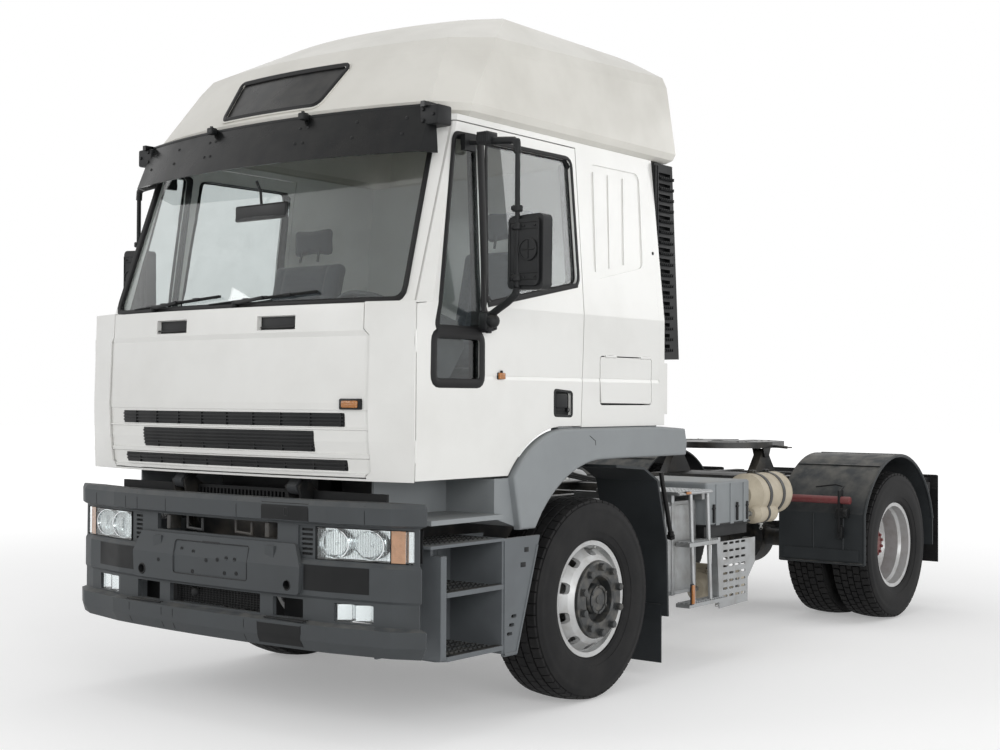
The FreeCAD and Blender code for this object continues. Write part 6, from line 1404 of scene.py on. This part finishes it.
def pad(name, x, y, z, lean, centre, channels, swell, voxel, materials, node):
    """Foam cushion: a rounded block swollen by cloth pressure, then sewn with channels across its face."""
    start = block(x, y, z, 34, 3)
    mesh = bpy.data.meshes.new(name)
    moved(start, Matrix.Scale(MM, 4))
    start.to_mesh(mesh)
    start.free()
    piece = bpy.data.objects.new(name, mesh)
    bpy.context.scene.collection.objects.link(piece)
    shell = piece.modifiers.new("shell", "REMESH")
    shell.mode, shell.voxel_size = "VOXEL", voxel * MM
    bake_modifiers(piece)
    before = [v.co.copy() for v in piece.data.vertices]
    foam = piece.modifiers.new("foam", "CLOTH")
    foam.settings.use_pressure = True
    foam.settings.uniform_pressure_force = 4.0
    foam.settings.effector_weights.gravity = 0.0
    foam.settings.tension_stiffness = foam.settings.compression_stiffness = 25
    for frame_number in range(1, FOAM_FRAMES + 1):
        bpy.context.scene.frame_set(frame_number)
    bake_modifiers(piece)
    bpy.context.scene.frame_set(1)
    for vert, old in zip(piece.data.vertices, before):
        step = vert.co - old
        if step.length > swell * MM:
            vert.co = old + step.normalized() * swell * MM
    part = shape()
    part.from_mesh(piece.data)
    part.normal_update()
    for vert in part.verts:
        if vert.normal.z > 0.4:
            dip = sum(math.exp(-((vert.co.x / MM - line) / CHANNEL_WIDTH) ** 2) for line in channels)
            edge = min(vert.co.y / MM - y[0], y[1] - vert.co.y / MM) / CHANNEL_FADE
            vert.co.z -= CHANNEL_DEPTH * MM * dip * min(max(edge, 0), 1)
    bmesh.ops.smooth_vert(part, verts=part.verts, factor=0.3, use_axis_x=True, use_axis_y=True, use_axis_z=True)
    moved(part, Matrix.Scale(1 / MM, 4))
    turned(part, lean, "X", (0, 0, 0))
    shifted(part, *centre)
    bpy.data.objects.remove(piece)
    for side, label in ((1, "left"), (-1, "right")) if node == "seats" else ((1, ""),):
        copy = part.copy()
        made = finished(copy if side > 0 else flipped(copy), f"{name}_{label}".rstrip("_"), "cab", materials,
                        180)
        round_off = made.modifiers.new("round", "SUBSURF")
        round_off.levels = round_off.render_levels = 1
        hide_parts(node)
    part.free()


def bake_modifiers(piece):
    """Replaces a piece's mesh by what its modifiers make of it."""
    solved = bpy.data.meshes.new_from_object(piece.evaluated_get(bpy.context.evaluated_depsgraph_get()))
    piece.modifiers.clear()
    piece.data = solved


class TRACTOR_OT_seats(Operator):
    """Two sprung seats with foam cushions, and the bunk's mattress."""
    bl_idname = "tractor.seats"
    bl_label = "Seats and bunk"

    def execute(self, context):
        swell = context.scene.tractor_sizes.pad_swell
        middle = sum(SEAT_X) / 2
        half = (SEAT_X[1] - SEAT_X[0]) / 2 - swell
        parts = [block((middle - 190, middle + 190), (-770, -440), (1241, 1262), 6, 2)]
        for k in range(6):
            inner = k % 2           # every other fold of the bellows is drawn in
            parts.append(block((middle - 170 + 3 * inner, middle + 170 - 3 * inner),
                               (-750 + 4 * inner, -460 - 4 * inner), (1262 + 44 * k, 1304 + 44 * k), 16, 3))
        parts.append(block((middle - 250, middle + 250), (-780, -360), (1526, 1562), 12, 2))
        for side in (-1, 1):
            parts.append(block((middle + side * 282, middle + side * 306), (-640, -300), (1540, 1640), 12, 3))
            parts.append(rod((middle + side * 70, -205, 2330), (middle + side * 70, -190, 2400), 7, 12))
        frames = mirrored(joined(*parts))
        made = finished(frames, "seat_frames", "cab", ["interior_moulding"])
        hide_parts("seats")
        pad("seat_cushion", (-half, half), (-230, 230), (-52, 52), 0, (middle, -590, 1628), (-190, 190), swell,
            10, ["cloth"], "seats")
        pad("seat_back", (-half + 20, half - 20), (-330, 330), (-42, 42), math.radians(90) - SEAT_LEAN,
            (middle, -258, 2000), (-170, 170), swell, 10, ["cloth"], "seats")
        pad("seat_headrest", (-150, 150), (-78, 78), (-26, 26), math.radians(90), (middle, -162, 2446), (),
            swell * 0.7, 8, ["cloth"], "seats")
        pad("bunk_pad", (-1045, 1045), (-262, 262), (-52, 52), 0, (0, 352, 1812), (-700, -350, 0, 350, 700),
            swell, 14, ["bedding"], "bunk_mattress")
        return {"FINISHED"}


class TRACTOR_OT_dash(Operator):
    """Instrument hood with its dials, vents, switches and glovebox on the dashboard."""
    bl_idname = "tractor.dash"
    bl_label = "Dashboard fittings"

    def execute(self, context):
        parts = [inked(block(x, y, z, edge, segments), ink) for x, y, z, edge, segments, ink in (
            ((330, 750), (-1300, -1168), (1920, 2012), 26, 4, 0),     # instrument hood and its panel
            ((350, 730), (-1170, -1163), (1938, 1996), 4, 2, 1),
            ((-860, -420), (-978, -966), (1760, 1836), 10, 3, 0),     # glovebox and its catch
            ((-660, -620), (-968, -958), (1812, 1826), 4, 2, 1))]
        for x in (420, 540, 660):
            parts.append(inked(lathe([(0, 24), (0, 30), (6, 30), (8, 26)], (x, -1164, 1967), 32, Y), 0))
            parts.append(inked(rod((x, -1160, 1967), (x + 14, -1160, 1983), 1.5, 6), 2))
        for x in (-900, -300, 120, 900):
            parts.append(inked(block((x - 70, x + 70), (-1010, -992), (1838, 1892), 8, 2), 0))
            for z in range(1846, 1888, 9):
                parts.append(inked(block((x - 62, x + 62), (-994, -986), (z, z + 3), 1, 1), 1))
        for x in range(-60, 201, 52):
            parts.append(inked(block((x, x + 38), (-986, -970), (1800, 1822), 4, 2), 1))
        finished(joined(*parts), "dashboard_fittings", "cab",
                 ["interior_moulding", "black_moulding", "plated_steel"])
        return {"FINISHED"}


# ------------------------------------------------------------------ stage
def seen_directly(tree):
    """Mask of the rays that show the surroundings: to the camera, in a reflection or through glass."""
    path = add(tree, "ShaderNodeLightPath")
    mirrored_or_clear = add(tree, "ShaderNodeMath", {"operation": "MAXIMUM"},
                            {0: path.outputs["Is Glossy Ray"], 1: path.outputs["Is Transmission Ray"]})
    return add(tree, "ShaderNodeMath", {"operation": "MAXIMUM"},
               {0: path.outputs["Is Camera Ray"], 1: mirrored_or_clear}).outputs[0]


class TRACTOR_OT_stage(Operator):
    """Pale floor, soft lamps and the camera."""
    bl_idname = "tractor.stage"
    bl_label = "Stage"

    def execute(self, context):
        scene = context.scene
        floor = shape()
        bmesh.ops.create_grid(floor, x_segments=1, y_segments=1, size=60.0)
        mesh = bpy.data.meshes.new("floor")
        floor.to_mesh(mesh)
        floor.free()
        ground = bpy.data.objects.new("floor", mesh)
        scene.collection.objects.link(ground)
        mesh.materials.append(self.pale_floor())
        self.sky(scene)
        for name, energy, size, place, aim in LAMPS:
            light = bpy.data.lights.new(name, "AREA")
            light.energy, light.shape, light.size, light.size_y = energy, "RECTANGLE", size[0], size[1]
            lamp = bpy.data.objects.new(name, light)
            lamp.location = place
            lamp.rotation_euler = (Vector(aim) - Vector(place)).to_track_quat("-Z", "Y").to_euler()
            scene.collection.objects.link(lamp)
        lens = bpy.data.cameras.new("camera")
        lens.sensor_width, lens.lens, lens.clip_end = 36.0, CAMERA_LENS, 300.0
        camera = bpy.data.objects.new("camera", lens)
        camera.location = CAMERA_PLACE
        camera.rotation_mode = "XYZ"
        turn = Matrix.Rotation(math.radians(CAMERA_YAW), 4, "Z") @ Matrix.Rotation(
            math.radians(90 + CAMERA_PITCH), 4, "X") @ Matrix.Rotation(math.radians(CAMERA_ROLL), 4, "Z")
        camera.rotation_euler = turn.to_euler()
        scene.collection.objects.link(camera)
        scene.camera = camera
        scene.view_settings.view_transform = "Standard"
        return {"FINISHED"}

    def pale_floor(self):
        """Matt white sweep: it keeps the shadow and reads as white in lamps, glass and metal. Its glow is
        weaker near the vehicle, a painted shade that darkens the floor round it.
        """
        made, tree, where = material("matt_white_sweep")
        tone = add(tree, "ShaderNodeMix", {"data_type": "RGBA", 6: linear("#E4E4E4"), 7: linear("#E8E8E8")},
                   {0: patches(tree, where, 4000)})
        matt = add(tree, "ShaderNodeBsdfDiffuse", links={"Color": tone.outputs[2]})
        # The glow grows with distance from the vehicle, so the floor round it is darker: painted shade over the
        # real shadow.
        away = add(tree, "ShaderNodeVectorMath", {"operation": "LENGTH"}, {0: where})
        level = add(tree, "ShaderNodeMapRange", {"From Min": 3.5, "From Max": 14.0, "To Min": FLOOR_GLOW[0],
                                                 "To Max": FLOOR_GLOW[1]}, {"Value": away.outputs["Value"]})
        glow = add(tree, "ShaderNodeEmission", {"Color": (1, 1, 1, 1)}, {"Strength": level})
        both = add(tree, "ShaderNodeAddShader", links={0: matt, 1: glow})
        shown = add(tree, "ShaderNodeMixShader",
                    links={0: seen_directly(tree), 1: matt, 2: both})
        add(tree, "ShaderNodeOutputMaterial", links={"Surface": shown})
        return made

    def sky(self, scene):
        """Even light from all round, seen as white."""
        world = scene.world or bpy.data.worlds.new("surroundings")
        scene.world = world
        world.use_nodes = True
        tree = world.node_tree
        tree.nodes.clear()
        level = add(tree, "ShaderNodeMapRange", {"To Min": SKY_LEVEL, "To Max": 1.0},
                    {"Value": seen_directly(tree)})
        back = add(tree, "ShaderNodeBackground", {"Color": (1, 1, 1, 1)}, {"Strength": level})
        add(tree, "ShaderNodeOutputWorld", links={"Surface": back})


CAMERA_PLACE = (5.392, -7.663, 1.545)
CAMERA_LENS = 52.53
CAMERA_YAW, CAMERA_PITCH, CAMERA_ROLL = 38.06, 0.91, 0.27
SKY_LEVEL = 0.45
# The weaker glow under the vehicle is painted shade round it.
FLOOR_GLOW = (0.3, 0.8)    # under the vehicle, far away
LAMPS = [                  # name, watts, size, place, aimed at
    ("key_lamp", 290, (5.0, 4.0), (8.0, -7.5, 4.0), (0.0, -0.5, 1.2)),
    ("front_lamp", 185, (5.0, 3.0), (-5.0, -9.0, 4.5), (0.0, -1.5, 1.5)),
    ("top_lamp", 120, (6.0, 8.0), (0.0, 0.0, 9.0), (0.0, 0.0, 0.0)),
    ("rear_lamp", 100, (4.0, 3.0), (6.0, 8.0, 5.0), (0.0, 2.0, 1.0)),
    ("side_lamp", 135, (7.0, 3.0), (9.0, -1.2, 1.5), (0.0, 0.0, 1.6)),
]


class TRACTOR_PT_panel(Panel):
    """Lists the sizes, the colours and every operator of the tractor unit."""
    bl_idname = "TRACTOR_PT_panel"
    bl_label = "Tractor unit"
    bl_space_type = "VIEW_3D"
    bl_region_type = "UI"
    bl_category = "Tractor"

    def draw(self, context):
        for group in (context.scene.tractor_sizes, context.scene.tractor_colours):
            for setting in type(group).bl_rna.properties:
                if setting.identifier not in ("name", "rna_type"):
                    self.layout.prop(group, setting.identifier)
        for kind in OPERATORS:
            self.layout.operator(kind.bl_idname)


OPERATORS = (TRACTOR_OT_finishes, TRACTOR_OT_tyres, TRACTOR_OT_wheels, TRACTOR_OT_glazing, TRACTOR_OT_wipers,
             TRACTOR_OT_grille, TRACTOR_OT_front_lamps, TRACTOR_OT_bumper, TRACTOR_OT_doors, TRACTOR_OT_mirrors,
             TRACTOR_OT_roof, TRACTOR_OT_steps, TRACTOR_OT_tanks, TRACTOR_OT_equipment, TRACTOR_OT_rear,
             TRACTOR_OT_seats, TRACTOR_OT_dash, TRACTOR_OT_stage)
CLASSES = (TRACTOR_PG_sizes, TRACTOR_PG_colours, *OPERATORS, TRACTOR_PT_panel)


def register():
    for kind in CLASSES:
        bpy.utils.register_class(kind)
    bpy.types.Scene.tractor_sizes = PointerProperty(type=TRACTOR_PG_sizes)
    bpy.types.Scene.tractor_colours = PointerProperty(type=TRACTOR_PG_colours)


def unregister():
    del bpy.types.Scene.tractor_colours
    del bpy.types.Scene.tractor_sizes
    for kind in reversed(CLASSES):
        bpy.utils.unregister_class(kind)


def main():
    register()
    for kind in OPERATORS:
        group, operator = kind.bl_idname.split(".")
        getattr(getattr(bpy.ops, group), operator)()


if __name__ == "__main__":
    main()
